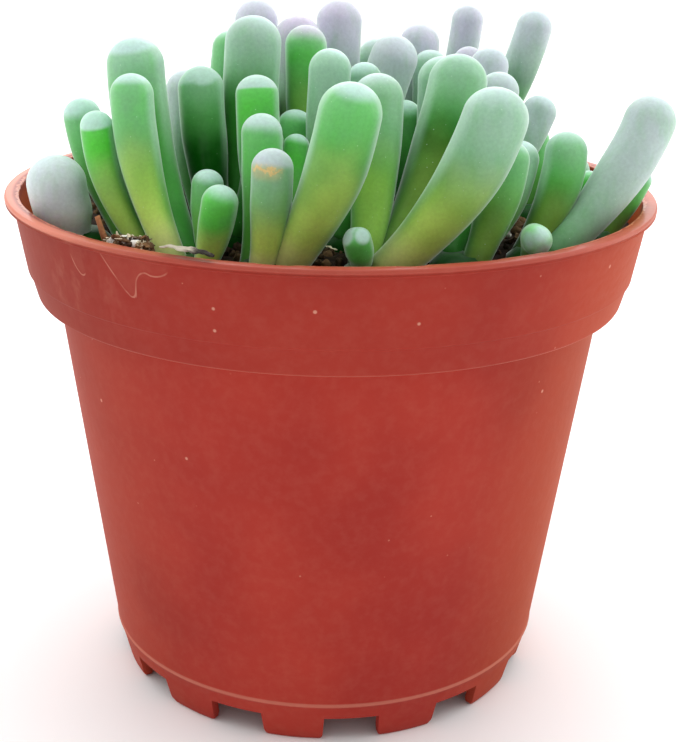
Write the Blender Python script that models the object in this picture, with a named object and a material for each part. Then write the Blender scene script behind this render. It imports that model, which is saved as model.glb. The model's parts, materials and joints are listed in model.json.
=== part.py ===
"""Potted baby toes: a round plastic nursery pot, its potting mix and a clump of club-shaped leaves.

The origin is on the pot's axis, on the surface that its feet stand on. +Z is up and -Y is the front.
Sizes are in millimetres up to the moment a mesh is made, which turns them into metres.
"""
import math

import bmesh
import bpy
import numpy as np
from mathutils import Matrix, Vector

METRE = 0.001

# Pot: driving dimensions, from the outside of the flat rolled lip down to the feet
LIP_RADIUS = 42.5
LIP_WIDTH = 1.9
LIP_ROLL = 0.5
LIP_CENTRE_HEIGHT = 66.4
LIP_INNER_ANGLES = (185, 135, 90)
LIP_OUTER_ANGLES = (80, 35, -20, -75)
BAND_TOP = (41.45, 65.75)
BAND_TAPER = 0.17
BAND_STEP_HEIGHT = 57.2
BAND_STEP_DEPTH = 0.3
BAND_STEP_BEVEL = 0.25
BAND_BOTTOM_HEIGHT = 53.6
BODY_TOP = (36.2, 53.0)
SHELF_RUN = 0.3
CREASE = (30.0, 6.0)
FOOT_RADIUS = 28.5
WALL = 0.95
FLOOR_TOP = 5.9
FLOOR_BOTTOM = 4.7
FLOOR_BEVEL = 0.8
FOOT_WALL = 1.3
# Small turns of the outline, each a step in or out and a step up: the band's rounded lower edge,
# the ridge over the feet, and the inner ledge where the wall steps out to the band
BAND_EDGE = ((-0.05, 0.9), (-0.4, 0.2), (-1.1, -0.05))
FOOT_RIDGE = ((0.12, -0.25), (-0.1, -0.5))
LEDGE_RISE = 1.2
LEDGE_DROP = 0.6
LEDGE_EDGE = ((-0.9, 0.1), (-0.4, 0.6))
INNER_STEP_RISE = 0.4
NOTCHES = 12
NOTCH_WIDTH = 7.3
NOTCH_TAPER = 0.5
NOTCH_HEIGHT = 3.5
NOTCH_REACH = 7.0
NOTCH_TURN = 7.5
DRAIN_HOLES = 6
DRAIN_RADIUS = 3.0
DRAIN_CIRCLE = 18.0
DRAIN_SIDES = 14
CUT_PAST = 1.0
POT_SIDES = 48

# Potting mix: level, gap to the pot and a heap against the front left wall
SOIL_LEVEL = 62.6
SOIL_GAP = 0.4
SOIL_SIDES = 36
SOIL_RINGS = (1.0, 0.9, 0.77, 0.6, 0.4, 0.18)
SOIL_WAVE = 0.3
MOUND_PLACE = (-22.8, -30.5)
MOUND_SPREAD = 4.0
MOUND_HEIGHT = 3.7

# Crowns: the short stems that the leaves grow from, standing in plain holes
CROWN_SIDES = 10
CROWN_DEPTH = 5.0
CROWN_RISE = 0.8
CROWN_SHOULDER = (0.7, 0.8)
HOLE_GAP = 0.45
HOLE_FLARE = 1.6
FLARE_START = 2.2
HOLE_TOP = 5.0

# Leaves: root girth against tip girth, and how the crowd is spread apart. The tall leaves of two
# heads bow out more. Sisters of one head may sink into each other near their roots: by the first
# share there, less by the second share upward
LEAF_SIDES = 8
LEAF_STEPS = (0.0, 0.28, 0.55, 0.8, 1.0)
ROOT_GIRTH = 0.64
FULL_GIRTH_AT = 0.75
ROOT_SINK = 0.4
ROOT_CIRCLE = 0.8
OUTWARD_LEAN = 0.5
BOWED = {"head_left": 0.8, "head_front_left": 0.4}
# A head that leans over as a whole has its roots set out about this middle, not about its crown
LEANING = {"head_left": (-29.5, -17.5), "head_right": (30.5, -15.0)}
TALL = 9.0
LEAF_GAP = 0.42
SISTER_GAP = 0.12
SISTER_SHARE = (0.72, 0.62)
SISTERS_FREE_BELOW = 0.45
SOIL_CLEARANCE = 0.8
CLEAR_FROM = 0.35
CROWD_STEPS = 200
CROWD_SAMPLES = 11
FOLLOW = 1.6
HOMEWARD = 0.004
LAST_STRETCH = 0.28
LAST_GIRTHS = 1.3
DOME_ANGLES = (35.0, 66.0)
DOME_FLATNESS = 0.93

# Each head: its crown's place and radius, then one row for a leaf. A row holds the place of the
# middle of the leaf's round tip (x, y), its height over the potting mix, and the tip's diameter.
HEADS = {
    "head_left": ((-23.0, -20.0, 3.4), (
        (-31.2, -9.0, 14.2, 4.8), (-27.6, -18.5, 14.6, 4.0), (-24.5, -8.5, 11.5, 4.4))),
    "head_front_left": ((-16.5, -25.0, 4.0), (
        (-23.4, -20.0, 18.6, 5.3), (-23.9, -12.0, 21.0, 7.0),
        (-12.7, -27.5, 7.8, 4.4), (-14.5, -22.0, 8.7, 3.8))),
    "head_front": ((-7.0, -26.0, 4.2), (
        (-6.6, -28.0, 11.9, 4.9), (-8.2, -21.0, 14.5, 5.0), (1.9, -30.0, 18.5, 7.5),
        (-9.1, -15.0, 18.1, 5.2), (-4.4, -14.5, 11.9, 3.4))),
    "head_front_right": ((5.6, -26.1, 4.2), (
        (17.9, -29.0, 18.1, 7.5), (3.0, -30.2, 4.2, 3.4),
        (14.9, -14.0, 20.0, 7.1), (5.3, -16.5, 18.2, 6.4))),
    "head_right_pair": ((15.5, -22.5, 3.8), (
        (20.8, -19.5, 11.7, 5.2), (23.5, -13.0, 10.3, 5.0), (20.0, -6.0, 17.9, 5.2))),
    "head_right": ((25.0, -19.0, 3.8), (
        (27.2, -14.0, 11.9, 5.5), (23.9, -25.8, 3.2, 3.7), (38.7, -12.0, 15.4, 6.7))),
    "head_far_right": ((33.0, -10.0, 3.4), (
        (39.2, -8.0, 7.2, 3.6), (32.4, -9.0, 6.4, 4.2))),
    "head_mid_left": ((-13.5, -10.0, 4.2), (
        (-16.3, -8.0, 17.7, 6.0), (-18.8, -3.0, 16.7, 5.6),
        (-12.7, 3.0, 21.2, 5.2), (-10.1, -3.0, 22.8, 7.3), (-8.5, -9.5, 12.0, 4.8))),
    "head_middle": ((0.0, -12.0, 4.0), (
        (-0.4, -10.0, 20.6, 5.5), (3.8, -6.0, 19.1, 4.3),
        (8.4, 2.0, 20.5, 6.4), (-3.6, 2.0, 22.1, 5.6), (-5.5, -6.0, 13.0, 4.6))),
    "head_mid_right": ((13.0, -9.0, 4.0), (
        (13.3, -6.5, 19.0, 6.3), (20.4, 3.0, 19.7, 5.3),
        (13.7, 10.0, 18.5, 4.9), (26.9, 0.0, 14.4, 4.6), (9.0, -3.5, 14.0, 4.8))),
    "head_back": ((-4.0, 6.0, 4.2), (
        (-10.5, 12.0, 24.1, 6.1), (-5.0, 8.0, 22.3, 6.4),
        (0.7, 15.0, 23.9, 6.4), (7.8, 7.5, 19.6, 5.6),
        (-10.5, 4.0, 14.0, 5.2), (2.0, 3.0, 15.0, 5.0))),
    "head_back_right": ((14.0, 13.0, 4.0), (
        (11.9, 16.0, 21.1, 5.7), (17.6, 10.0, 19.4, 4.6),
        (27.6, 15.0, 23.6, 5.2), (22.5, 20.5, 14.0, 5.4), (18.5, 17.0, 13.0, 4.8))),
    "head_rear_right": ((13.0, 26.0, 3.8), (
        (19.2, 24.0, 23.6, 4.6), (13.0, 32.5, 16.5, 6.0),
        (6.5, 27.0, 17.5, 6.4), (18.5, 31.0, 10.5, 5.2))),
    "head_rear": ((-3.0, 22.0, 3.8), (
        (-7.5, 30.5, 15.0, 6.2), (1.5, 33.5, 14.0, 5.4), (-0.5, 24.0, 18.5, 6.0),
        (-9.5, 21.0, 13.5, 5.4), (4.5, 19.5, 14.0, 5.0))),
    "head_rear_left": ((-16.2, 16.8, 4.3), (
        (-24.0, 21.0, 10.5, 5.8), (-16.5, 27.5, 12.0, 6.4), (-12.5, 18.5, 15.0, 5.6),
        (-18.0, 11.0, 14.0, 5.0), (-24.0, 13.5, 11.5, 4.8))),
    "head_far_left": ((-25.0, 1.0, 3.8), (
        (-31.5, 3.5, 8.5, 5.2), (-27.0, 10.0, 9.5, 5.0), (-22.0, 0.5, 13.5, 5.0),
        (-28.5, -3.5, 6.0, 4.4), (-20.5, 6.0, 12.5, 4.8))),
    "head_side_right": ((27.0, 4.0, 3.6), (
        (33.0, 8.0, 4.5, 5.0), (27.5, 8.5, 9.0, 5.0), (35.0, 0.5, 4.0, 4.2),
        (22.0, 7.0, 12.0, 4.8))),
    "head_far_rear": ((25.0, 18.0, 3.4), (
        (29.5, 20.5, 6.0, 4.8), (24.5, 27.5, 9.5, 5.6))),
    "head_left_edge": ((-30.8, -14.1, 3.8), (
        (-32.5, -15.0, 7.4, 7.3),)),
}

# A dry needle poked into the mix, and a withered leaf skin lying on the lip
TWIG_FOOT = (-23.7, -28.6, 61.8)
TWIG_TIP = (-26.6, -27.5, 68.6)
TWIG_RADII = (0.5, 0.34)
TWIG_SIDES = 6
TWIG_RINGS = (0.0, 0.35, 0.7, 1.0)
TWIG_BEND = 0.25
TWIG_HOLE_RADII = (1.1, 3.4)
TWIG_HOLE_SIDES = 8
TWIG_HOLE_DEPTH = 1.2
TWIG_HOLE_TOP = 5.0
SKIN_PATH = ((-18.4, -37.0, 67.55), (-16.4, -38.1, 67.70), (-14.2, -39.4, 67.60), (-12.2, -40.5, 67.50))
SKIN_WIDTHS = (0.5, 1.5, 1.6, 0.6)
SKIN_THICKNESS = 0.65
SKIN_CURL = 0.2
SKIN_SECTION = ((-1.0, 0.0), (0.0, -0.5), (1.0, 0.0), (1.0, 1.0), (0.0, 0.5), (-1.0, 1.0))


def clear_scene():
    """Remove whatever the file opens with."""
    for obj in list(bpy.data.objects):
        bpy.data.objects.remove(obj, do_unlink=True)


def material(name, colour, roughness):
    """A Principled material of one colour."""
    made = bpy.data.materials.new(name)
    made.use_nodes = True
    shader = made.node_tree.nodes["Principled BSDF"]
    shader.inputs["Base Color"].default_value = (*colour, 1.0)
    shader.inputs["Roughness"].default_value = roughness
    shader.inputs["Metallic"].default_value = 0.0
    return made


def mesh_object(name, points, faces, finish=None):
    """An object at the world origin from points in millimetres."""
    mesh = bpy.data.meshes.new(name)
    mesh.from_pydata([tuple(c * METRE for c in p) for p in points], [], faces)
    mesh.update()
    obj = bpy.data.objects.new(name, mesh)
    bpy.context.scene.collection.objects.link(obj)
    if finish is not None:
        mesh.materials.append(finish)
    return obj


def smooth(obj, sharp_degrees=35.0):
    """Smooth shading with sharp edges where the faces turn hard."""
    obj.data.shade_smooth()
    obj.data.set_sharp_from_angle(angle=math.radians(sharp_degrees))


def as_guide(obj):
    """Mark a cutter, which is not part of the object."""
    obj.hide_render = True
    obj.display_type = "WIRE"
    return obj


def rings_mesh(rings):
    """Points and faces of a closed body lofted through rings of equal count, with flat or pointed ends.

    Each ring runs anticlockwise seen from the end that the rings go towards, so the faces look out.
    """
    count = len(rings[0])
    points = [tuple(p) for ring in rings for p in ring]
    faces = [tuple(range(count - 1, -1, -1))]
    for k in range(len(rings) - 1):
        low, high = k * count, (k + 1) * count
        for i in range(count):
            j = (i + 1) % count
            faces.append((low + i, low + j, high + j, high + i))
    last = (len(rings) - 1) * count
    faces.append(tuple(last + i for i in range(count)))
    return points, faces


def pointed_end(points, faces, tip):
    """Replace the last flat face by a fan to the tip point."""
    ring = faces.pop()
    points.append(tuple(tip))
    top = len(points) - 1
    for i, a in enumerate(ring):
        faces.append((a, ring[(i + 1) % len(ring)], top))


def body_radius(height):
    """Outer radius of the pot's straight tapered body at a height."""
    share = (height - CREASE[1]) / (BODY_TOP[1] - CREASE[1])
    return CREASE[0] + share * (BODY_TOP[0] - CREASE[0])


def band_radius(height):
    """Outer radius of the band under the lip at a height."""
    return BAND_TOP[0] - BAND_TAPER * (BAND_TOP[1] - height)


def turns(radius, height, steps):
    """Small turns of an outline, counted from one of its corners."""
    return [(radius + out, height + up) for out, up in steps]


def pot_profile():
    """Half section of the pot, from the middle of its floor over the lip to the floor's underside."""
    ledge = BAND_BOTTOM_HEIGHT + LEDGE_RISE
    inside = [
        (0.0, FLOOR_TOP),
        (body_radius(FLOOR_TOP) - WALL - FLOOR_BEVEL, FLOOR_TOP),
        (body_radius(FLOOR_TOP + FLOOR_BEVEL) - WALL, FLOOR_TOP + FLOOR_BEVEL),
        (body_radius(ledge - LEDGE_DROP) - WALL, ledge - LEDGE_DROP),
        (BODY_TOP[0] + 0.1, ledge),
    ]
    inside += turns(band_radius(ledge) - WALL, ledge, LEDGE_EDGE)
    inside.append((band_radius(BAND_STEP_HEIGHT) - WALL, BAND_STEP_HEIGHT + INNER_STEP_RISE))
    lip = []
    for middle, angles in ((LIP_RADIUS - LIP_WIDTH + LIP_ROLL, LIP_INNER_ANGLES),
                           (LIP_RADIUS - LIP_ROLL, LIP_OUTER_ANGLES)):
        for degrees in angles:
            angle = math.radians(degrees)
            lip.append((middle + LIP_ROLL * math.cos(angle),
                        LIP_CENTRE_HEIGHT + LIP_ROLL * math.sin(angle)))
    outside = [
        BAND_TOP,
        (band_radius(BAND_STEP_HEIGHT), BAND_STEP_HEIGHT),
        (band_radius(BAND_STEP_HEIGHT) - BAND_STEP_DEPTH, BAND_STEP_HEIGHT - BAND_STEP_BEVEL),
    ]
    outside += turns(band_radius(BAND_BOTTOM_HEIGHT) - BAND_STEP_DEPTH, BAND_BOTTOM_HEIGHT, BAND_EDGE)
    outside += [(BODY_TOP[0] + SHELF_RUN, BAND_BOTTOM_HEIGHT), BODY_TOP, CREASE]
    outside += turns(*CREASE, FOOT_RIDGE)
    outside += [
        (FOOT_RADIUS, 0.0),
        (FOOT_RADIUS - FOOT_WALL, 0.0),
        (body_radius(FLOOR_BOTTOM) - FOOT_WALL, FLOOR_BOTTOM),
        (0.0, FLOOR_BOTTOM),
    ]
    return inside + lip + outside


def block(name, middle, turn, bottom_width, top_width, length, low, high):
    """A straight block that narrows towards its top, turned about the vertical through its middle."""
    points = []
    for width, height in ((bottom_width, low), (top_width, high)):
        half, reach = width / 2, length / 2
        points += [(-reach, -half, height), (reach, -half, height)]
        points += [(reach, half, height), (-reach, half, height)]
    spin = Matrix.Rotation(turn, 3, "Z")
    placed = [spin @ Vector(p) + Vector(middle) for p in points]
    faces = [(3, 2, 1, 0), (4, 5, 6, 7), (0, 1, 5, 4), (1, 2, 6, 5), (2, 3, 7, 6), (3, 0, 4, 7)]
    return as_guide(mesh_object(name, placed, faces))


def post(name, middle, radii, heights, sides, finish=None):
    """A round post with one radius for each height."""
    rings = []
    for radius, height in zip(radii, heights):
        rings.append([(middle[0] + radius * math.cos(2 * math.pi * i / sides),
                       middle[1] + radius * math.sin(2 * math.pi * i / sides), height) for i in range(sides)])
    points, faces = rings_mesh(rings)
    return mesh_object(name, points, faces, finish)


def gather(name, objects):
    """Move objects into a collection of their own, for one Boolean."""
    group = bpy.data.collections.new(name)
    bpy.context.scene.collection.children.link(group)
    for obj in objects:
        bpy.context.scene.collection.objects.unlink(obj)
        group.objects.link(obj)
    return group


def cut_with(obj, group, solver):
    """Take every object of a collection out of a solid."""
    cut = obj.modifiers.new("cuts", "BOOLEAN")
    cut.operation = "DIFFERENCE"
    cut.operand_type = "COLLECTION"
    cut.collection = group
    cut.solver = solver


def make_pot(finish):
    """The turned pot, with notches between its feet and round drain holes in its floor."""
    profile = pot_profile()
    edges = [(i, i + 1) for i in range(len(profile) - 1)]
    mesh = bpy.data.meshes.new("pot")
    mesh.from_pydata([(r * METRE, 0.0, z * METRE) for r, z in profile], edges, [])
    pot = bpy.data.objects.new("pot", mesh)
    bpy.context.scene.collection.objects.link(pot)
    mesh.materials.append(finish)
    turn = pot.modifiers.new("turn", "SCREW")
    turn.axis = "Z"
    turn.steps = POT_SIDES
    turn.render_steps = POT_SIDES
    turn.use_merge_vertices = True
    turn.merge_threshold = 0.00001
    turn.use_smooth_shade = True
    cutters = []
    for k in range(NOTCHES):
        angle = math.radians(NOTCH_TURN + 360.0 / NOTCHES * k - 90.0)
        middle = (FOOT_RADIUS * math.cos(angle), FOOT_RADIUS * math.sin(angle), 0.0)
        cutters.append(block(f"notch_{k}", middle, angle, NOTCH_WIDTH + NOTCH_TAPER, NOTCH_WIDTH,
                             NOTCH_REACH, -CUT_PAST, NOTCH_HEIGHT))
    places = [(0.0, 0.0)]
    for k in range(DRAIN_HOLES):
        angle = 2 * math.pi * k / DRAIN_HOLES
        places.append((DRAIN_CIRCLE * math.cos(angle), DRAIN_CIRCLE * math.sin(angle)))
    for k, place in enumerate(places):
        heights = (FLOOR_BOTTOM - CUT_PAST, FLOOR_TOP + CUT_PAST)
        hole = post(f"drain_{k}", place, (DRAIN_RADIUS,) * 2, heights, DRAIN_SIDES)
        cutters.append(as_guide(hole))
    cut_with(pot, gather("pot_cutters", cutters), "EXACT")
    return pot


def soil_height(x, y):
    """Height of the potting mix: its level, slow waves and the mound by the front left wall."""
    waves = np.sin(0.31 * x + 1.3) * np.cos(0.27 * y - 0.4) + 0.6 * np.sin(0.53 * y + 0.37 * x)
    off = (x - MOUND_PLACE[0]) ** 2 + (y - MOUND_PLACE[1]) ** 2
    return SOIL_LEVEL + SOIL_WAVE * waves + MOUND_HEIGHT * np.exp(-off / (2 * MOUND_SPREAD ** 2))


def soil_sides():
    """Radius and height of the corners of the mix's side, which follows the inside of the pot."""
    ledge = BAND_BOTTOM_HEIGHT + LEDGE_RISE
    inset = WALL + SOIL_GAP
    foot = FLOOR_TOP + SOIL_GAP
    return [
        (body_radius(foot) - inset - FLOOR_BEVEL - 0.1, foot),
        (body_radius(foot) - inset, foot + FLOOR_BEVEL + 0.1),
        (body_radius(ledge) - inset - 0.1, ledge + 0.2),
        (band_radius(ledge) - inset - 1.3, ledge + 0.9),
        (band_radius(BAND_STEP_HEIGHT) - inset, BAND_STEP_HEIGHT + 0.6),
    ]


def make_soil(finish, crowns):
    """Potting mix that fills the pot, with a plain hole for every crown and one for the twig."""
    rings = []
    angles = [2 * math.pi * i / SOIL_SIDES for i in range(SOIL_SIDES)]
    for radius, height in soil_sides():
        rings.append([(radius * math.cos(a), radius * math.sin(a), height) for a in angles])
    rim = band_radius(SOIL_LEVEL) - WALL - SOIL_GAP
    for share in SOIL_RINGS:
        ring = []
        for a in angles:
            x, y = share * rim * math.cos(a), share * rim * math.sin(a)
            ring.append((x, y, float(soil_height(x, y))))
        rings.append(ring)
    points, faces = rings_mesh(rings)
    pointed_end(points, faces, (0.0, 0.0, float(soil_height(0.0, 0.0))))
    soil = mesh_object("soil", points, faces, finish)
    cutters = []
    heights = (SOIL_LEVEL - CROWN_DEPTH - HOLE_GAP, SOIL_LEVEL - FLARE_START,
               SOIL_LEVEL, SOIL_LEVEL + HOLE_TOP)
    for k, (x, y, radius) in enumerate(crowns):
        wide = radius + HOLE_GAP
        radii = (wide, wide, wide + HOLE_FLARE, wide + HOLE_FLARE)
        cutters.append(as_guide(post(f"hole_{k}", (x, y), radii, heights, CROWN_SIDES)))
    heights = (TWIG_FOOT[2] - TWIG_HOLE_DEPTH, SOIL_LEVEL + TWIG_HOLE_TOP)
    cutters.append(as_guide(post("hole_twig", TWIG_FOOT, TWIG_HOLE_RADII, heights, TWIG_HOLE_SIDES)))
    cut_with(soil, gather("soil_cutters", cutters), "MANIFOLD")
    smooth(soil, 40.0)
    return soil


def curve_weights(steps):
    """Weights of a cubic curve's four control points at each step along it."""
    t = np.asarray(steps, dtype=float)[:, None]
    return np.hstack([(1 - t) ** 3, 3 * t * (1 - t) ** 2, 3 * t * t * (1 - t), t ** 3])


def girth(steps):
    """Radius along a leaf against its tip's radius: slim at the root, full a little below the tip."""
    share = np.clip(np.asarray(steps, dtype=float) / FULL_GIRTH_AT, 0.0, 1.0)
    return ROOT_GIRTH + (1 - ROOT_GIRTH) * share ** 2 * (3 - 2 * share)


def straight_crowd():
    """Control points of every leaf before they make room: out of the crown, then up to the tip."""
    controls, radii, head_of, crowns = [], [], [], []
    for number, (name, (crown, leaves)) in enumerate(HEADS.items()):
        for x, y, height, width in leaves:
            tip = np.array([x, y, SOIL_LEVEL + height])
            outward = tip[:2] - np.array(LEANING.get(name, crown[:2]))
            outward = outward / (np.linalg.norm(outward) + 1e-9)
            ring = ROOT_CIRCLE * (crown[2] - 0.5 * width * ROOT_GIRTH)
            root = np.array([*(np.array(crown[:2]) + ring * outward), SOIL_LEVEL - ROOT_SINK])
            chord = tip - root
            tall = min(max(height / TALL - 1.0, 0.0), 1.0)
            lean = OUTWARD_LEAN + BOWED.get(name, 0.0) * tall
            flat = lean * np.array([chord[0], chord[1], 0.0])
            controls.append([root, root + (chord + flat) / 3, tip - (chord - flat) / 3, tip])
            radii.append(width / 2)
            head_of.append(number)
            crowns.append(crown)
    return np.array(controls), np.array(radii), np.array(head_of), np.array(crowns)


def make_room():
    """Bend the crowded leaves clear of one another, of the pot's lip and of the potting mix.

    Every leaf is a row of balls along its curve. Balls that come too close push each other apart by
    half of what is missing, and each control point follows the balls that it weighs on most.
    """
    controls, radii, head_of, crowns = straight_crowd()
    wished = controls.copy()
    count = len(controls)
    steps = np.linspace(0.0, 1.0, CROWD_SAMPLES)
    weights = curve_weights(steps)
    along = np.tile(steps, count)
    leaf_of = np.repeat(np.arange(count), CROWD_SAMPLES)
    ball = (girth(steps)[None] * radii[:, None]).ravel()
    sisters = head_of[leaf_of][:, None] == head_of[leaf_of][None]
    lower = np.minimum(along[:, None], along[None])
    share = np.where(sisters, np.clip(SISTER_SHARE[0] + SISTER_SHARE[1] * lower, 0.0, 1.0), 1.0)
    gap = np.where(sisters, np.where(lower < SISTERS_FREE_BELOW, 0.0, SISTER_GAP), LEAF_GAP)
    needed = (ball[:, None] + ball[None]) * share + gap
    needed[leaf_of[:, None] == leaf_of[None]] = 0.0
    lip_inner, lip_outer = LIP_RADIUS - LIP_WIDTH + LIP_ROLL, LIP_RADIUS - LIP_ROLL
    # a leaf that is alone on its crown stands over its own hole, clear of the mix
    sister_count = np.bincount(head_of)[head_of[leaf_of]]
    over_mix = (along > CLEAR_FROM) & (sister_count > 1)
    for _ in range(CROWD_STEPS):
        middles = np.einsum("mk,nkc->nmc", weights, controls).reshape(-1, 3)
        squares = (middles ** 2).sum(axis=1)
        apart = squares[:, None] + squares[None] - 2 * middles @ middles.T
        first, second = np.nonzero(apart < needed ** 2)
        line = middles[first] - middles[second]
        length = np.linalg.norm(line, axis=1) + 1e-9
        missing = np.clip(needed[first, second] - length, 0.0, None)
        push = np.zeros_like(middles)
        touching = np.zeros(len(middles))
        np.add.at(push, first, line / length[:, None] * missing[:, None] * 0.5)
        np.add.at(touching, first, 1.0)
        push /= np.maximum(touching, 1.0)[:, None]
        # the wall inside the pot
        reach = np.hypot(middles[:, 0], middles[:, 1]) + 1e-9
        outward = middles[:, :2] / reach[:, None]
        wall = band_radius(SOIL_LEVEL) - WALL
        within = (middles[:, 2] < LIP_CENTRE_HEIGHT) & (reach < lip_inner)
        over = np.clip(reach + ball + LEAF_GAP - wall, 0.0, None) * within
        push[:, :2] -= outward * over[:, None]
        # the rolled lip
        beside = reach - np.clip(reach, lip_inner, lip_outer)
        to_lip = np.stack([beside, middles[:, 2] - LIP_CENTRE_HEIGHT], axis=1)
        distance = np.linalg.norm(to_lip, axis=1) + 1e-9
        over = np.clip(ball + LIP_ROLL + LEAF_GAP - distance, 0.0, None)
        push[:, :2] += outward * (to_lip[:, 0] / distance * over)[:, None]
        push[:, 2] += to_lip[:, 1] / distance * over
        # the potting mix
        ground = soil_height(middles[:, 0], middles[:, 1]) + SOIL_CLEARANCE + ball
        push[:, 2] += np.clip(ground - middles[:, 2], 0.0, None) * over_mix
        pushes = push.reshape(count, CROWD_SAMPLES, 3)
        move = FOLLOW * np.einsum("mk,nmc->nkc", weights, pushes) / weights.sum(axis=0)[:, None]
        move[:, 0, 2] = 0.0
        controls += move
        controls[:, 1:] += HOMEWARD * (wished[:, 1:] - controls[:, 1:])
        # a leaf's last stretch stays long enough for its girth
        reach = controls[:, 3] - controls[:, 2]
        length = np.linalg.norm(reach, axis=1) + 1e-9
        chord = np.linalg.norm(controls[:, 3] - controls[:, 0], axis=1)
        least = np.maximum(LAST_STRETCH * chord, LAST_GIRTHS * radii)
        controls[:, 2] -= reach * (np.maximum(least / length, 1.0) - 1.0)[:, None]
        # roots stay on their crown
        off = controls[:, 0, :2] - crowns[:, :2]
        limit = ROOT_CIRCLE * (crowns[:, 2] - radii * ROOT_GIRTH)
        far = np.linalg.norm(off, axis=1) + 1e-9
        controls[:, 0, :2] = crowns[:, :2] + off * np.minimum(1.0, limit / far)[:, None]
    return controls, radii, head_of


def leaf_points(controls, radius):
    """Rings of one leaf: round sections along its curve, closed by a flattened dome."""
    steps = np.array(LEAF_STEPS)
    weights = curve_weights(steps)
    middles = weights @ controls
    heading = np.gradient(curve_weights(np.linspace(0.0, 1.0, 101)) @ controls, axis=0)
    tangents = heading[(steps * 100).astype(int)]
    tangents /= np.linalg.norm(tangents, axis=1)[:, None]
    radii = girth(steps) * radius
    last = len(steps) - 1
    for angle in DOME_ANGLES:
        rise = radius * DOME_FLATNESS * math.sin(math.radians(angle))
        middles = np.vstack([middles, middles[last] + tangents[last] * rise])
        tangents = np.vstack([tangents, tangents[last]])
        radii = np.append(radii, radius * math.cos(math.radians(angle)))
    turn = np.linspace(0.0, 2 * np.pi, LEAF_SIDES, endpoint=False)
    rings = []
    for middle, tangent, size in zip(middles, tangents, radii):
        across = np.cross((0.0, 1.0, 0.0), tangent)
        across /= np.linalg.norm(across)
        deep = np.cross(tangent, across)
        rings.append(middle + size * (np.cos(turn)[:, None] * across + np.sin(turn)[:, None] * deep))
    points, faces = rings_mesh(rings)
    pointed_end(points, faces, middles[last] + tangents[last] * radius * DOME_FLATNESS)
    return points, faces


def make_head(name, crown, controls, radii, finish):
    """A crown with its leaves, joined into one closed body."""
    x, y, radius = crown
    share, drop = CROWN_SHOULDER
    top = SOIL_LEVEL + CROWN_RISE
    head = post(name, (x, y), (radius, radius, share * radius), (SOIL_LEVEL - CROWN_DEPTH, top - drop, top),
                CROWN_SIDES, finish)
    leaves = []
    for k, (control, size) in enumerate(zip(controls, radii)):
        points, faces = leaf_points(control, size)
        leaves.append(mesh_object(f"{name}_leaf_{k}", points, faces, finish))
    group = gather(f"{name}_leaves", leaves)
    join = head.modifiers.new("join", "BOOLEAN")
    join.operation = "UNION"
    join.operand_type = "COLLECTION"
    join.collection = group
    join.solver = "MANIFOLD"
    depsgraph = bpy.context.evaluated_depsgraph_get()
    joined = bpy.data.meshes.new_from_object(head.evaluated_get(depsgraph))
    head.modifiers.clear()
    head.data = joined
    for leaf in leaves:
        bpy.data.objects.remove(leaf, do_unlink=True)
    bpy.data.collections.remove(group)
    smooth(head, 60.0)
    return head


def make_twig(finish):
    """A slim dry needle that stands in its hole and leans outward."""
    foot, tip = Vector(TWIG_FOOT), Vector(TWIG_TIP)
    along = (tip - foot).normalized()
    across = along.cross(Vector((0.0, 1.0, 0.0))).normalized()
    deep = along.cross(across)
    rings = []
    for share in TWIG_RINGS:
        middle = foot.lerp(tip, share) + across * TWIG_BEND * math.sin(math.pi * share)
        radius = TWIG_RADII[0] + share * (TWIG_RADII[1] - TWIG_RADII[0])
        rings.append([middle + radius * (math.cos(a) * across + math.sin(a) * deep)
                      for a in (2 * math.pi * i / TWIG_SIDES for i in range(TWIG_SIDES))])
    points, faces = rings_mesh(rings)
    twig = mesh_object("twig", points, faces, finish)
    smooth(twig, 40.0)
    return twig


def make_dead_skin(finish):
    """A withered leaf skin: a thin curled strip along the top of the lip."""
    path = [Vector(p) for p in SKIN_PATH]
    rings = []
    for k, (middle, width) in enumerate(zip(path, SKIN_WIDTHS)):
        along = (path[min(k + 1, len(path) - 1)] - path[max(k - 1, 0)]).normalized()
        across = along.cross(Vector((0.0, 0.0, 1.0))).normalized()
        up = across.cross(along)
        ring = []
        for side, rise in SKIN_SECTION:
            lift = SKIN_THICKNESS * rise + SKIN_CURL * abs(side) * width
            ring.append(middle + across * side * width / 2 + up * lift)
        rings.append(ring)
    points, faces = rings_mesh(rings)
    skin = mesh_object("dead_leaf_skin", points, faces, finish)
    mesh = bmesh.new()
    mesh.from_mesh(skin.data)
    bmesh.ops.triangulate(mesh, faces=mesh.faces[:])
    bmesh.ops.recalc_face_normals(mesh, faces=mesh.faces[:])
    mesh.to_mesh(skin.data)
    mesh.free()
    return skin


def build():
    """Make every piece of the potted plant."""
    clear_scene()
    terracotta = material("terracotta_plastic", (0.36, 0.05, 0.035), 0.45)
    mix = material("potting_mix", (0.05, 0.03, 0.02), 0.95)
    leaf = material("baby_toes_leaf", (0.16, 0.42, 0.16), 0.5)
    bark = material("dry_needle", (0.22, 0.09, 0.03), 0.8)
    withered = material("withered_skin", (0.5, 0.45, 0.38), 0.85)
    make_pot(terracotta)
    make_soil(mix, [crown for crown, _ in HEADS.values()])
    controls, radii, head_of = make_room()
    for number, (name, (crown, _)) in enumerate(HEADS.items()):
        mine = head_of == number
        make_head(name, crown, controls[mine], radii[mine], leaf)
    make_twig(bark)
    make_dead_skin(withered)


build()
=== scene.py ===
# %% [markdown]
# # Potted baby toes
# A small succulent in a round plastic nursery pot. The solids of the pot, the potting mix, the heads
# of leaves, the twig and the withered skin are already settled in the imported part. This lesson gives
# each of them its fine surface and its finish: new shapes are points on a grid that numpy works out
# in one go, and each finish is a small tree of shader nodes.

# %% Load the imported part
import json
import math

import bpy
import numpy as np
from mathutils import Matrix

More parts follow.
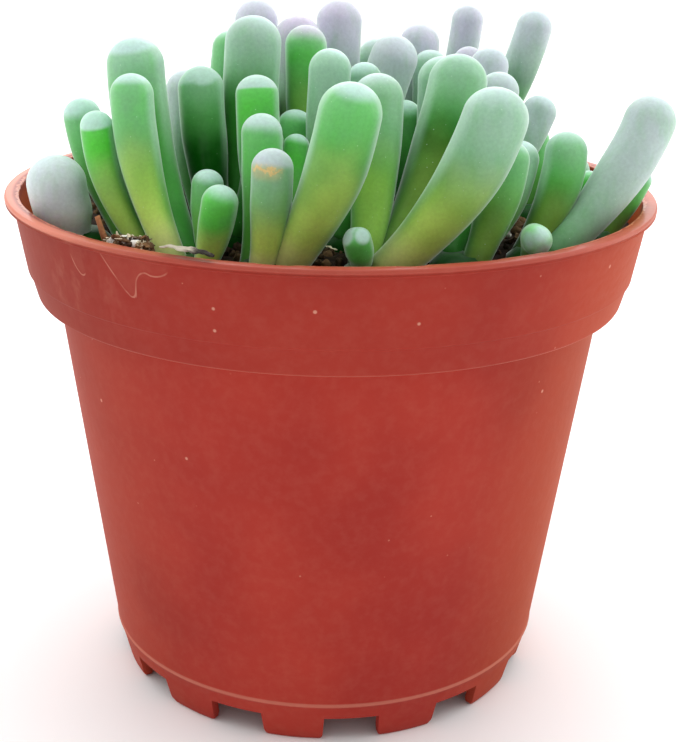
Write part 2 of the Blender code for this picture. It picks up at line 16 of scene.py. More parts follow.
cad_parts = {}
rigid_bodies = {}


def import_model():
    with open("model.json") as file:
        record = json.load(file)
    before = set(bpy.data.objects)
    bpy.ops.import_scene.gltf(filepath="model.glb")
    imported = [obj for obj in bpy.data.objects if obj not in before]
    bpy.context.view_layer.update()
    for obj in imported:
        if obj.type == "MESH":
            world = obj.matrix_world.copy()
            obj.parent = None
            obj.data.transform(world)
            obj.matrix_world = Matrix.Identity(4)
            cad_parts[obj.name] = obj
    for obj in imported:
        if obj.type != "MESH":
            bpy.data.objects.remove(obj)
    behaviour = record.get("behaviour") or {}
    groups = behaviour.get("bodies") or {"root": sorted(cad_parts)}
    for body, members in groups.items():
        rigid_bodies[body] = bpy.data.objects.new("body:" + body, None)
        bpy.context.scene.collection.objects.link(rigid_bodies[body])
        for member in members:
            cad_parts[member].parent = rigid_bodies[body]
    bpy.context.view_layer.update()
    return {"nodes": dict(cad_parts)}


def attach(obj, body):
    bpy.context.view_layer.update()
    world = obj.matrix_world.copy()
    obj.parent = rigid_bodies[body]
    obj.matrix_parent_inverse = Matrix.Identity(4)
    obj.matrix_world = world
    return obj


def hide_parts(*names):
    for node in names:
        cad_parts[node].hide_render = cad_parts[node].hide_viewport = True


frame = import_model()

MM = 0.001
print("nodes:", sorted(frame["nodes"]))

# %% [markdown]
# ## Camera
# The photograph looks down on the pot from a hand's breadth away, so the pot narrows strongly towards
# its foot. A camera close to the object with a short view does the same; a far one would make the
# sides look straighter. Its place is given by the distance and the height over the lip, and its
# heading by a small turn, a tilt and a slight roll.

# %% Place the camera
PHOTO_SIZE = (679, 742)
FOCAL_PIXELS = 1397.9
SENSOR = 36.0
AIM_HEIGHT = 67.0
CAMERA_DISTANCE = 187.34
CAMERA_ANGLES = (12.0, 1.19, 19.63, 0.49)
NEAR_CLIP = 0.01


def unit(vectors):
    """Vectors divided by their own lengths."""
    return vectors / np.linalg.norm(vectors, axis=-1, keepdims=True)


def place_object(name, data, right, up, back, place):
    """Link an object that has the given three axes and a place in metres."""
    matrix = np.eye(4)
    matrix[:3] = np.column_stack([right, up, back, place])
    made = bpy.data.objects.new(name, data)
    bpy.context.scene.collection.objects.link(made)
    made.matrix_world = Matrix(matrix.tolist())
    return made


def aim_camera():
    """A camera on a circle of CAMERA_DISTANCE round the lip's middle, lifted, rolled, tilted and turned."""
    lift, roll, tilt, turn = np.radians(CAMERA_ANGLES)
    place = np.array([0.0, -math.cos(lift), math.sin(lift)]) * CAMERA_DISTANCE
    place[2] += AIM_HEIGHT
    forward = np.array([math.sin(turn) * math.cos(tilt), math.cos(turn) * math.cos(tilt), -math.sin(tilt)])
    level = np.array([math.cos(turn), -math.sin(turn), 0.0])
    above = np.cross(level, forward)
    right = math.cos(roll) * level + math.sin(roll) * above
    up = math.cos(roll) * above - math.sin(roll) * level
    lens = bpy.data.cameras.new("photo_camera")
    lens.sensor_width = SENSOR
    lens.lens = FOCAL_PIXELS / max(PHOTO_SIZE) * SENSOR
    lens.clip_start = NEAR_CLIP
    made = place_object("photo_camera", lens, right, up, -forward, place * MM)
    bpy.context.scene.camera = made
    return made


camera = aim_camera()
print("lens", round(camera.data.lens, 2), "mm at", [round(c, 4) for c in camera.location])

# %% [markdown]
# ## Helpers for shapes
# Almost every piece here is rings of points round a line, with a point at each end: the pot, the mix,
# the leaves and the needle. Faces run between neighbouring rings, and the ends are closed by fans of
# triangles. Values that a finish needs later, such as how far along a leaf a point lies, are kept on
# the points as named attributes.

# %% Turn rings of points into meshes
UPRIGHT = (0.0, 0.0, 1.0)


def round_angles(count):
    """Even angles in radians, once round a circle."""
    return np.linspace(0.0, 2 * np.pi, count, endpoint=False)


def section_axes(tangent):
    """Two directions across each tangent, square to it and to each other."""
    across = unit(np.cross((0.0, 1.0, 0.0), tangent))
    return across, np.cross(tangent, across)


def tube(middle, tangent, radii, sides):
    """Rings round a line, in the plane across its tangent; radii are one a ring or one a point."""
    across, deep = section_axes(unit(np.broadcast_to(tangent, middle.shape)))
    turn = round_angles(sides)[:, None]
    around = np.cos(turn) * across[:, None] + np.sin(turn) * deep[:, None]
    return middle[:, None] + radii.reshape(len(middle), -1, 1) * around


def closed_tube(rings):
    """Points, quads and end triangles of a closed body from rings of points, with a point at each end."""
    rows, columns = rings.shape[:2]
    ring = np.arange(columns)
    after = (ring + 1) % columns
    low = (np.arange(rows - 1) * columns)[:, None]
    quads = np.stack([low + ring, low + after, low + columns + after, low + columns + ring], axis=-1)
    last = (rows - 1) * columns
    first_end = np.full(columns, rows * columns)
    fans = np.concatenate([np.stack([after, ring, first_end], axis=1),
                           np.stack([ring + last, after + last, first_end + 1], axis=1)])
    ends = [rings[0].mean(axis=0), rings[-1].mean(axis=0)]
    return np.vstack([rings.reshape(-1, 3), ends]), quads.reshape(-1, 4), fans


def join_surfaces(surfaces):
    """Several sets of points, quads and triangles as one; each set's faces count on from the last set's."""
    starts = np.cumsum([0] + [len(surface[0]) for surface in surfaces])
    return [np.vstack([surface[part] + (start if part else 0) for surface, start in zip(surfaces, starts)])
            for part in range(3)]


def mesh_piece(name, surface, values=None, sharp=None):
    """A smooth-shaded object at the origin from points in millimetres, quads, triangles and attributes."""
    points, quads, fans = surface
    mesh = bpy.data.meshes.new(name)
    mesh.vertices.add(len(points))
    mesh.vertices.foreach_set("co", (points * MM).astype(np.float32).ravel())
    loops = np.concatenate([quads.ravel(), fans.ravel()]).astype(np.int32)
    sizes = np.repeat([4, 3], [len(quads), len(fans)])
    mesh.loops.add(len(loops))
    mesh.loops.foreach_set("vertex_index", loops)
    mesh.polygons.add(len(sizes))
    mesh.polygons.foreach_set("loop_start", (np.cumsum(sizes) - sizes).astype(np.int32))
    mesh.update(calc_edges=True)
    for key, value in (values or {}).items():
        kept = mesh.attributes.new(key, "FLOAT", "POINT")
        kept.data.foreach_set("value", value.astype(np.float32).ravel())
    mesh.shade_smooth()
    if sharp is not None:
        mesh.set_sharp_from_angle(angle=math.radians(sharp))
    piece = bpy.data.objects.new(name, mesh)
    bpy.context.scene.collection.objects.link(piece)
    return piece


def place_piece(piece, finish, replaced):
    """Give a piece its material, tie it to the pot's body and hide the solid that it stands for."""
    piece.data.materials.clear()
    piece.data.materials.append(finish)
    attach(piece, "root")
    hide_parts(replaced)

# %% [markdown]
# ## Helpers for noise
# Soil, crumbs and plastic are never quite even. Value noise is the simplest unevenness to write: random
# numbers on the corners of a box grid, with a smooth blend between them. Two or three layers of it at
# doubled frequency look like worn or crumbly matter.

# %% Smooth random fields
LATTICE = 64


def value_noise(points, cell, seed):
    """Random numbers in -1 to 1 on a lattice of the given cell, blended by 3t^2 - 2t^3 in between."""
    table = np.random.default_rng(seed).uniform(-1.0, 1.0, (LATTICE, LATTICE, LATTICE))
    scaled = points / cell
    corner = np.floor(scaled).astype(int)
    part = scaled - corner
    part = part * part * (3 - 2 * part)
    total = np.zeros(scaled.shape[:-1])
    for step in np.ndindex(2, 2, 2):
        weight = np.where(step, part, 1 - part).prod(axis=-1)
        at = (corner + step) % LATTICE
        total += weight * table[at[..., 0], at[..., 1], at[..., 2]]
    return total


def layered_noise(points, cell, seed, layers=3):
    """Value noise summed over layers, each half the cell and half the strength of the one before."""
    return sum(value_noise(points, cell / 2 ** k, seed + k) / 2 ** k for k in range(layers))

# %% [markdown]
# ## Helpers for finishes
# A finish is a tree of nodes, and most of them do plain sums. So a value in the tree is wrapped as a
# field: multiplying or adding fields in Python puts the right node into the tree, and the recipe of a
# finish reads like a sum. The other helpers add the few nodes that come up again and again.

# %% Short ways to wire shader nodes
def add(tree, kind, inputs=(), **settings):
    """Add a node; inputs maps a socket's name or number to a number, a colour or a field."""
    made = tree.nodes.new(kind)
    for key, value in settings.items():
        setattr(made, key, value)
    for key, value in dict(inputs).items():
        if isinstance(value, Field):
            tree.links.new(value.socket, made.inputs[key])
        else:
            made.inputs[key].default_value = value
    return made


class Field:
    """A value or a colour in a tree of nodes; Python's arithmetic on it adds the node for the sum."""

    def __init__(self, node, output=0):
        self.tree = node.id_data
        self.socket = node.outputs[output]

    def sums(self, operation, *others):
        """One arithmetic node, such as ADD or SQRT, and its result."""
        return Field(add(self.tree, "ShaderNodeMath", enumerate((self, *others)), operation=operation))

    # Python's signs: each adds one arithmetic node
    def __add__(self, other):
        return self.sums("ADD", other)

    def __sub__(self, other):
        return self.sums("SUBTRACT", other)

    def __mul__(self, other):
        return self.sums("MULTIPLY", other)

    def __truediv__(self, other):
        return self.sums("DIVIDE", other)

    def __abs__(self):
        return self.sums("ABSOLUTE")

    def into(self, node, name):
        """Link this field to a socket of a node."""
        self.tree.links.new(self.socket, node.inputs[name])


def new_finish(name, roughness, **sockets):
    """A material, its Principled shader with constants set on its own sockets, and object coordinates."""
    finish = bpy.data.materials.new(name)
    finish.use_nodes = True
    shader = finish.node_tree.nodes["Principled BSDF"]
    for key, value in {"Roughness": roughness, **sockets}.items():
        shader.inputs[key.replace("_", " ")].default_value = value
    return finish, shader, Field(add(finish.node_tree, "ShaderNodeTexCoord"), "Object")


def ramp(value, low, high, start=0.0, end=1.0):
    """Runs smoothly from start to end while value goes from low to high, and stays there beyond."""
    return Field(add(value.tree, "ShaderNodeMapRange", {0: value, 1: low, 2: high, 3: start, 4: end},
                     interpolation_type="SMOOTHSTEP"))


def near(value, middle, half, soft):
    """1 where value lies within half of middle, falling to 0 over soft."""
    return ramp(abs(value - middle), half, half + soft, 1.0, 0.0)


def blend(share, first, second):
    """The first colour where share is 0, the second where it is 1."""
    return Field(add(share.tree, "ShaderNodeMix", {0: share, 6: first, 7: second}, data_type="RGBA"), 2)


def laid_on(colour, layers):
    """A colour with layers over it, each a share and a colour, blended in one after another."""
    for share, other in layers:
        colour = blend(share, colour, other)
    return colour


def shaded(colour, amount):
    """A colour times an amount."""
    return Field(add(colour.tree, "ShaderNodeVectorMath", {0: colour, 1: amount}, operation="MULTIPLY"))


def read(place, name):
    """The value of a named attribute of the mesh, in the tree that a place belongs to."""
    return Field(add(place.tree, "ShaderNodeAttribute", attribute_name=name), "Fac")


def grain(place, cell, detail=2.0, rough=0.5, squash=(1.0, 1.0, 1.0)):
    """Noise in 0 to 1 whose patches are about cell millimetres wide, read at a place in metres."""
    scaled = Field(add(place.tree, "ShaderNodeMapping", {"Vector": place, "Scale": squash}))
    return Field(add(place.tree, "ShaderNodeTexNoise", {"Vector": scaled, "Scale": 1.0 / (cell * MM),
                                                        "Detail": detail, "Roughness": rough}))


def cells(place, size):
    """A cell pattern: the distance to the nearest cell's middle, and a random number for that cell."""
    node = add(place.tree, "ShaderNodeTexVoronoi", {"Vector": place, "Scale": 1.0 / (size * MM)})
    split = add(place.tree, "ShaderNodeSeparateColor", {0: Field(node, "Color")})
    return Field(node, "Distance"), Field(split)


def bump(shader, height, depth, strength=0.5):
    """Tilt the shading as if the surface rose by depth millimetres times height."""
    Field(add(height.tree, "ShaderNodeBump", {"Height": height, "Distance": depth * MM,
                                              "Strength": strength})).into(shader, "Normal")


def srgb(red, green, blue):
    """A colour as a screen shows it, 0 to 255 a channel, turned into linear light."""
    share = np.array([red, green, blue]) / 255.0
    return (*np.where(share <= 0.04045, share / 12.92, ((share + 0.055) / 1.055) ** 2.4).tolist(), 1.0)

# %% [markdown]
# ## Floor and light
# The photograph has a plain white surround: soft light from above, behind and both sides and less
# from the front, so the pot's middle is a deeper red than its flanks and each leaf has a pale edge.
# A world that fades towards the front gives the even part. A very wide sun stands in for the big
# diffuser overhead, because it lights the floor alike everywhere, and two soft panels brighten the sides.

# %% Make the floor and the lamps
FLOOR_HALF = 3.0
FLOOR_COLOUR = (0.93, 0.93, 0.93, 1.0)
WORLD_BEHIND = 1.02
WORLD_FRONT = 0.62
WORLD_TURN = (-0.7, 0.6)
SUN_STRENGTH = 1.45
SUN_PLACE = (-0.05, 0.25, 1.0)
SUN_WIDTH = 100.0
PANEL_TARGET = (0.0, 0.0, 0.05)
PANELS = {
    # name: place in metres, size in metres, watts
    "panel_left": ((-0.55, 0.16, 0.26), 0.5, 0.7),
    "panel_right": ((0.55, 0.10, 0.26), 0.5, 1.0),
    "panel_back": ((0.05, 0.60, 0.30), 0.6, 1.5),
}


def white_surround():
    """A white world whose strength runs from the front value, past the camera, to the value behind."""
    world = bpy.data.worlds.new("white_surround")
    world.use_nodes = True
    tree = world.node_tree
    split = add(tree, "ShaderNodeSeparateXYZ", {0: Field(add(tree, "ShaderNodeTexCoord"), "Generated")})
    background = tree.nodes["Background"]
    background.inputs["Color"].default_value = (1.0, 1.0, 1.0, 1.0)
    ramp(Field(split, 1), *WORLD_TURN, WORLD_FRONT, WORLD_BEHIND).into(background, "Strength")
    bpy.context.scene.world = world


def place_lamp(name, kind, place, target, **settings):
    """A lamp at a place that shines at a target."""
    lamp = bpy.data.lights.new(name, kind)
    for key, value in settings.items():
        setattr(lamp, key, value)
    away = unit(np.array(place) - np.array(target))
    side = unit(np.cross((0.0, 1.0, 0.001), away))
    place_object(name, lamp, side, np.cross(away, side), away, place)


def light_studio():
    """The world, the wide sun overhead and the soft panels."""
    white_surround()
    place_lamp("diffuser", "SUN", SUN_PLACE, (0.0, 0.0, 0.0), energy=SUN_STRENGTH,
               angle=math.radians(SUN_WIDTH))
    for name, (place, size, watts) in PANELS.items():
        place_lamp(name, "AREA", place, PANEL_TARGET, size=size, energy=watts)


def make_floor():
    """A pale matt sheet under the pot."""
    corners = np.array([(-1, -1, 0), (1, -1, 0), (1, 1, 0), (-1, 1, 0)]) * FLOOR_HALF / MM
    floor = mesh_piece("floor", (corners, np.arange(4)[None], np.zeros((0, 3), int)))
    finish, shader, _ = new_finish("pale_floor", 0.9, Specular_IOR_Level=0.1, Base_Color=FLOOR_COLOUR)
    floor.data.materials.append(finish)


light_studio()
make_floor()
bpy.context.scene.view_settings.view_transform = "Standard"
print("lamps: diffuser,", ", ".join(PANELS))

# %% [markdown]
# ## The pot's outline
# The real pot is one thin moulding: a rolled lip, a deep band that steps in to the tapered body, and
# a foot ring with notches. A turned shape is a half outline carried round an axis, so the work is in
# the outline. It has a few corners; each is softened by a small arc, because a moulded edge is never
# razor sharp and it is the roundness that catches the light.

# %% Draw the half outline
LIP_RADIUS = 42.5
LIP_WIDTH = 1.9
LIP_ROLL = 0.5
LIP_HEIGHT = 66.4
LIP_TOP = 66.9
# the lip's section from its underside round to the inside: steps from (LIP_RADIUS, LIP_TOP), rounding
LIP_SECTION = ((-0.3, -1.03, 0.1), (-0.06, -0.9, 0.1), (-0.2, -0.68, 0.05), (0.0, -0.45, 0.12),
               (-0.16, -0.05, 0.18), (-1.2, 0.0, 0.4), (-1.88, -0.12, 0.18), (-1.95, -0.6, 0.15))
BAND_TOP = (41.45, 65.75)
BAND_TAPER = 0.17
STEP_HEIGHT = 57.2
STEP_DEPTH = 0.3
BAND_BOTTOM = 53.6
BODY_TOP = (36.2, 53.0)
CREASE = (30.0, 6.0)
FOOT_RADIUS = 28.5
WALL = 0.95
FOOT_WALL = 1.3
FLOOR_TOP, FLOOR_BOTTOM = 5.9, 4.7
LEDGE = BAND_BOTTOM + 1.2
AXIS_GAP = 0.4
ARC_POINTS = 5


def rounded(corners):
    """A line through corners (r, z, reach): a corner with a reach becomes a quadratic curve."""
    out = []
    t = np.linspace(0.0, 1.0, ARC_POINTS)[:, None]
    for before, (r, z, reach), after in zip(corners[:1] + corners, corners, corners[1:] + corners[-1:]):
        here = np.array([r, z])
        if reach == 0:
            out.append(here[None])
            continue
        first, last = (here + way * min(0.45, reach / np.linalg.norm(way))
                       for way in (np.array(before[:2]) - here, np.array(after[:2]) - here))
        out.append((1 - t) ** 2 * first + 2 * t * (1 - t) * here + t ** 2 * last)
    return np.vstack(out)


def body_radius(height):
    """Outer radius of the straight body at a height."""
    return CREASE[0] + (height - CREASE[1]) / (BODY_TOP[1] - CREASE[1]) * (BODY_TOP[0] - CREASE[0])


def band_radius(height):
    """Outer radius of the band at a height."""
    return BAND_TOP[0] - BAND_TAPER * (BAND_TOP[1] - height)


def wall_outline():
    """Half outline from the crease outside, up over the flat lip and down inside to the floor's middle."""
    return rounded([
        (CREASE[0] - 0.1, CREASE[1] - 0.5, 0), (CREASE[0] + 0.12, CREASE[1] - 0.25, 0.15), (*CREASE, 0.3),
        (*BODY_TOP, 0.5), (BODY_TOP[0] + 0.3, BAND_BOTTOM, 0.25),
        (band_radius(BAND_BOTTOM) - STEP_DEPTH - 0.3, BAND_BOTTOM - 0.05, 0.7),
        (band_radius(BAND_BOTTOM) - STEP_DEPTH - 0.05, BAND_BOTTOM + 0.8, 0.5),
        (band_radius(STEP_HEIGHT) - STEP_DEPTH, STEP_HEIGHT - 0.2, 0.08),
        (band_radius(STEP_HEIGHT), STEP_HEIGHT, 0.15), (*BAND_TOP, 0.1),
        *((LIP_RADIUS + out, LIP_TOP + up, arc) for out, up, arc in LIP_SECTION),
        (band_radius(STEP_HEIGHT) - WALL, STEP_HEIGHT + 0.4, 0.5),
        (band_radius(LEDGE) - WALL - 0.5, LEDGE + 0.2, 0.8), (BODY_TOP[0] + 0.1, LEDGE, 0.4),
        (body_radius(LEDGE - 0.8) - WALL, LEDGE - 0.8, 0.5),
        (body_radius(FLOOR_TOP) - WALL, FLOOR_TOP, 1.0), (AXIS_GAP, FLOOR_TOP, 0)])


outline = wall_outline()
print("outline points:", len(outline), "lip radius", round(float(outline[:, 0].max()), 2))

# %% [markdown]
# ## Turn the pot and notch its foot
# Cutting the notches with a Boolean would work, but it leaves slivers. On a grid it is simpler to let
# the foot ring's lower edge be a function of the angle: low on a foot, high over a notch, with a very
# short run between the two. The ring's rows then spread between the crease and that edge.

# %% Build the pot
NOTCHES = 12
NOTCH_HEIGHT = 3.5
NOTCH_TURN = 7.5
NOTCH_HALF = 7.3
NOTCH_RUN = 0.35
FOOT_ROUNDING = 1.2
FOOT_SHARES = np.array([1.0, 0.97, 0.9, 0.7, 0.45, 0.2])
FOOT_PINCH = 0.25
NICK_SIZE = 1.6
NICK_DEPTHS = (0.12, 0.18)
WAVE_DEPTH = 0.05
POT_SHARP = 38.0


def pot_angles():
    """Angles round the pot in degrees from the front, close together at each notch's two sides."""
    even = np.arange(0.0, 360.0, 1.25)
    close = np.array([-1.6, -1.2, -0.8, -0.4, -0.1, 0.0, NOTCH_RUN, NOTCH_RUN + 0.1])
    middles = NOTCH_TURN + 360.0 / NOTCHES * np.arange(NOTCHES)[:, None]
    sides = np.concatenate([middles - NOTCH_HALF + close, middles + NOTCH_HALF - close], axis=None)
    every = np.unique(np.round(np.concatenate([even, sides]) % 360.0, 3))
    return every[np.concatenate([[True], np.diff(every) > 0.05])]


def foot_edge(angles):
    """Height of the foot ring's lower edge: 0 on a foot with rounded corners, NOTCH_HEIGHT over a notch."""
    period = 360.0 / NOTCHES
    off = np.abs((angles - NOTCH_TURN + period / 2) % period - period / 2)
    inside = np.clip((NOTCH_HALF - off) / NOTCH_RUN, 0.0, 1.0)
    corner = np.clip((NOTCH_HALF + FOOT_ROUNDING - off) / FOOT_ROUNDING, 0.0, 1.0)
    rounding = 0.6 * (1 - np.sqrt(np.clip(1 - corner ** 2, 0.0, 1.0)))
    return np.where(inside > 0, rounding + inside * (NOTCH_HEIGHT - rounding), rounding)


def foot_rings(edge, top, radius, outwards):
    """Radius and height of the rings of one face of the foot, from the edge up to the given top."""
    share = FOOT_SHARES[:, None]
    height = top + share * (edge - top)
    pinch = FOOT_PINCH * np.clip((share - 0.9) / 0.1, 0.0, 1.0)
    slope = (outline[0, 0] - FOOT_RADIUS) / outline[0, 1]
    return np.stack([radius + slope * height - outwards * pinch, height], axis=-1)


def carried_round(radius, height, turn):
    """Points at a radius and a height, turned about the pot's axis from the front."""
    return np.stack([radius * np.sin(turn), -radius * np.cos(turn), height], axis=-1)


def make_pot():
    """Carry the outline round the axis, hang the notched foot ring under it and close the floor."""
    angles = pot_angles()
    turn = np.radians(angles)
    edge = foot_edge(angles)
    plain = np.vstack([(AXIS_GAP, FLOOR_BOTTOM), outline])[:, None] * np.ones((len(turn), 1))
    inner = foot_rings(edge, FLOOR_BOTTOM, FOOT_RADIUS - FOOT_WALL, -1.0)
    outer = foot_rings(edge, outline[0, 1], FOOT_RADIUS, 1.0)
    rings = np.concatenate([plain[:1], inner[::-1], outer, plain[1:]])
    radius, height = rings[..., 0], rings[..., 1]
    # wear on the lip: tiny nicks along the rolled edge
    lip = np.exp(-((radius - LIP_RADIUS + 1.75) / 0.35) ** 2 - ((height - LIP_TOP) / 0.5) ** 2)
    noise = layered_noise(carried_round(radius, height, turn), NICK_SIZE, 5)
    wear = lip * np.clip(noise - 0.15, 0.0, 1.0)
    radius, height = radius - NICK_DEPTHS[0] * wear, height - NICK_DEPTHS[1] * wear
    # the moulding is a hair out of round towards its top
    wave = WAVE_DEPTH * np.sin(2 * turn + 0.6) * np.clip((height - 20.0) / 45.0, 0.0, 1.0)
    radius = np.where(radius > 20.0, radius - np.abs(wave), radius)
    return mesh_piece("pot_fine", closed_tube(carried_round(radius, height, turn)), sharp=POT_SHARP)


pot = make_pot()
print("pot faces:", len(pot.data.polygons))

# %% [markdown]
# ## Drain the pot
# A nursery pot lets water out through holes in its floor, which also open into the gaps between the
# feet. Seven plain round holes are cut with a Boolean, which is applied at once.

# %% Cut the drain holes
DRAIN_HOLES = 6
DRAIN_RADIUS = 3.0
DRAIN_CIRCLE = 18.0
DRAIN_SIDES = 32
DRAIN_REACH = 1.0


def make_posts():
    """A collection of upright posts through the floor: one in the middle and a circle of six round it."""
    turn = round_angles(DRAIN_HOLES)
    places = np.vstack([np.zeros(2), DRAIN_CIRCLE * np.stack([np.cos(turn), np.sin(turn)], axis=1)])
    posts = bpy.data.collections.new("drain_posts")
    bpy.context.scene.collection.children.link(posts)
    for number, place in enumerate(places):
        middle = np.array([(*place, FLOOR_BOTTOM - DRAIN_REACH), (*place, FLOOR_TOP + DRAIN_REACH)])
        rings = tube(middle, UPRIGHT, np.full(2, DRAIN_RADIUS), DRAIN_SIDES)
        post = mesh_piece(f"drain_post_{number}", closed_tube(rings))
        bpy.context.scene.collection.objects.unlink(post)
        posts.objects.link(post)
    return posts


def drain_pot(pot):
    """Subtract the posts from the floor, apply the result and remove the posts."""
    posts = make_posts()
    cut = pot.modifiers.new("drain", "BOOLEAN")
    cut.operation = "DIFFERENCE"
    cut.operand_type = "COLLECTION"
    cut.collection = posts
    cut.solver = "MANIFOLD"
    depsgraph = bpy.context.evaluated_depsgraph_get()
    cut_mesh = bpy.data.meshes.new_from_object(pot.evaluated_get(depsgraph))
    pot.modifiers.clear()
    pot.data = cut_mesh
    for post in list(posts.objects):
        bpy.data.objects.remove(post, do_unlink=True)
    bpy.data.collections.remove(posts)
    pot.data.shade_smooth()
    pot.data.set_sharp_from_angle(angle=math.radians(POT_SHARP))


drain_pot(pot)
print("pot faces after draining:", len(pot.data.polygons))

# %% [markdown]
# ## Marks on the pot
# Water that ran over the lip dried as pale outlines on the band, and dust settled in small pale
# specks. A painted image could hold them, but marks that are computed stay sharp at any distance.
# Angles round the pot come from the arctangent of the object's own coordinates, so a mark stays where
# it is when the pot turns. A dried drip is a curve of height against angle: the mark is pale where the
# surface lies within a fraction of a millimetre of that curve.

# %% Draw the dried marks
# pale of dried water, dust and mottling; also of the highlights painted on the crease and the band's lower
# edge
POT_PALE = srgb(214, 150, 128)
DRIP_BOTTOM, DRIP_TOP = 60.0, 67.0
DRIP_STEP = 0.3
DEGREE_WIDTH = 0.72    # millimetres on the band for one degree
# each drip: the width of its outline in millimetres, then its line as degrees and height
DRIPS = {
    0.14: ((-38.6, 66.0), (-37.4, 64.8), (-36.1, 63.6), (-34.8, 62.5), (-33.5, 61.5), (-32.5, 61.1),
           (-31.8, 61.6), (-31.2, 63.4), (-29.6, 64.3), (-28.2, 64.1), (-26.8, 64.2), (-25.0, 64.9)),
    0.13: ((-46.2, 64.7), (-45.5, 63.5), (-44.6, 62.6), (-43.6, 62.2), (-42.6, 62.6)),
}
# dust specks: the cells they lie in, their size, the share of cells without one and their whiteness
SPECKS = ((5.5, 0.30, 0.62, 0.75), (2.6, 0.16, 0.72, 0.4))


def pot_place(place):
    """The angle from the front in degrees, the height and the radius in millimetres."""
    split = add(place.tree, "ShaderNodeSeparateXYZ", {0: place})
    x, y, height = (Field(split, k) * (1.0 / MM) for k in range(3))
    angle = x.sums("ARCTAN2", y * -1.0) * (180.0 / math.pi)
    return angle, height, (x * x + y * y).sums("SQRT")


def drawn_curve(angle, points):
    """The height at an angle of a curve drawn through points of angle and height."""
    low, high = points[0][0], points[-1][0]
    share = Field(add(angle.tree, "ShaderNodeMapRange", {0: angle, 1: low, 2: high, 3: 0.0, 4: 1.0}))
    node = add(angle.tree, "ShaderNodeFloatCurve", {1: share})
    line = node.mapping.curves[0].points
    spots = [((x - low) / (high - low), (y - DRIP_BOTTOM) / (DRIP_TOP - DRIP_BOTTOM)) for x, y in points]
    line[0].location, line[1].location = spots[0], spots[-1]
    for spot in spots[1:-1]:
        line.new(*spot)
    node.mapping.update()
    return Field(node) * (DRIP_TOP - DRIP_BOTTOM) + DRIP_BOTTOM


def drip_line(angle, height, points, width):
    """A thin dried outline along a curve of height against angle, and the area between it and the lip.

    The distance to the curve is the difference in height over the square root of 1 + slope squared.
    """
    low, high = points[0][0], points[-1][0]
    curve = drawn_curve(angle, points)
    slope = (drawn_curve(angle + DRIP_STEP, points) - curve) / (DRIP_STEP * DEGREE_WIDTH)
    off = height - curve
    distance = abs(off) / (slope * slope + 1.0).sums("SQRT")
    within = near(angle, (low + high) / 2, (high - low) / 2 - 0.6, 0.6)
    return ramp(distance, width * 0.3, width, 1.0, 0.0) * within, ramp(off, 0.0, 0.5) * within


def dried_marks(place, angle, height):
    """Pale layers on the plastic: smudges of water on the band, the drips and specks of dust."""
    smudge = grain(place, 3.2, 3.0, 0.65, (1.0, 1.0, 0.6))
    left = ramp(angle, -22.0, -48.0) * ramp(angle, -100.0, -84.0)
    marks = [ramp(smudge, 0.5, 0.8, 0.0, 0.16) * (ramp(height, 55.0, 59.0) * left)]
    for width, points in DRIPS.items():
        line, inside = drip_line(angle, height, points, width)
        marks += [line * ramp(grain(place, 2.0), 0.3, 0.6, 0.12, 0.42), inside * 0.04]
    for cell, size, share, whiteness in SPECKS:
        distance, chosen = cells(place, cell)
        dot = ramp(distance, size / cell * 0.5, size / cell, 1.0, 0.0)
        marks.append(dot * ramp(chosen, share, share + 0.1, 0.0, whiteness))
    return [(mark, POT_PALE) for mark in marks]


print("drips:", len(DRIPS), "kinds of specks:", len(SPECKS))

# %% [markdown]
# ## The pot's finish
# Terracotta-coloured polypropylene is matt and slightly waxy. It is a shade deeper where it is thick,
# worn light at the lip's inner edge and a little glossy on top of the lip. Light is painted on as well:
# the flanks are painted lighter and more orange where the side light falls, and darker against the side
# lamps; the wall inside is painted lighter under the light from above; painted highlights lie on top of
# the lip, on the crease and on the band's lower edge. Each of these is a share between 0 and 1, worked
# out from the angle, the height and the radius, by which one colour goes over another. Such layers are
# easier to correct one by one than a single mixed formula.

# %% Make the terracotta plastic
POT_RED = srgb(172, 56, 44)
POT_DEEP = srgb(158, 47, 39)
# orange of the light painted on the flanks and on the wall inside
POT_LIT_ORANGE = srgb(200, 88, 32)
POT_WORN = srgb(226, 142, 108)
# pale of the highlight painted on top of the lip
POT_LIP_HIGHLIGHT = srgb(238, 142, 112)


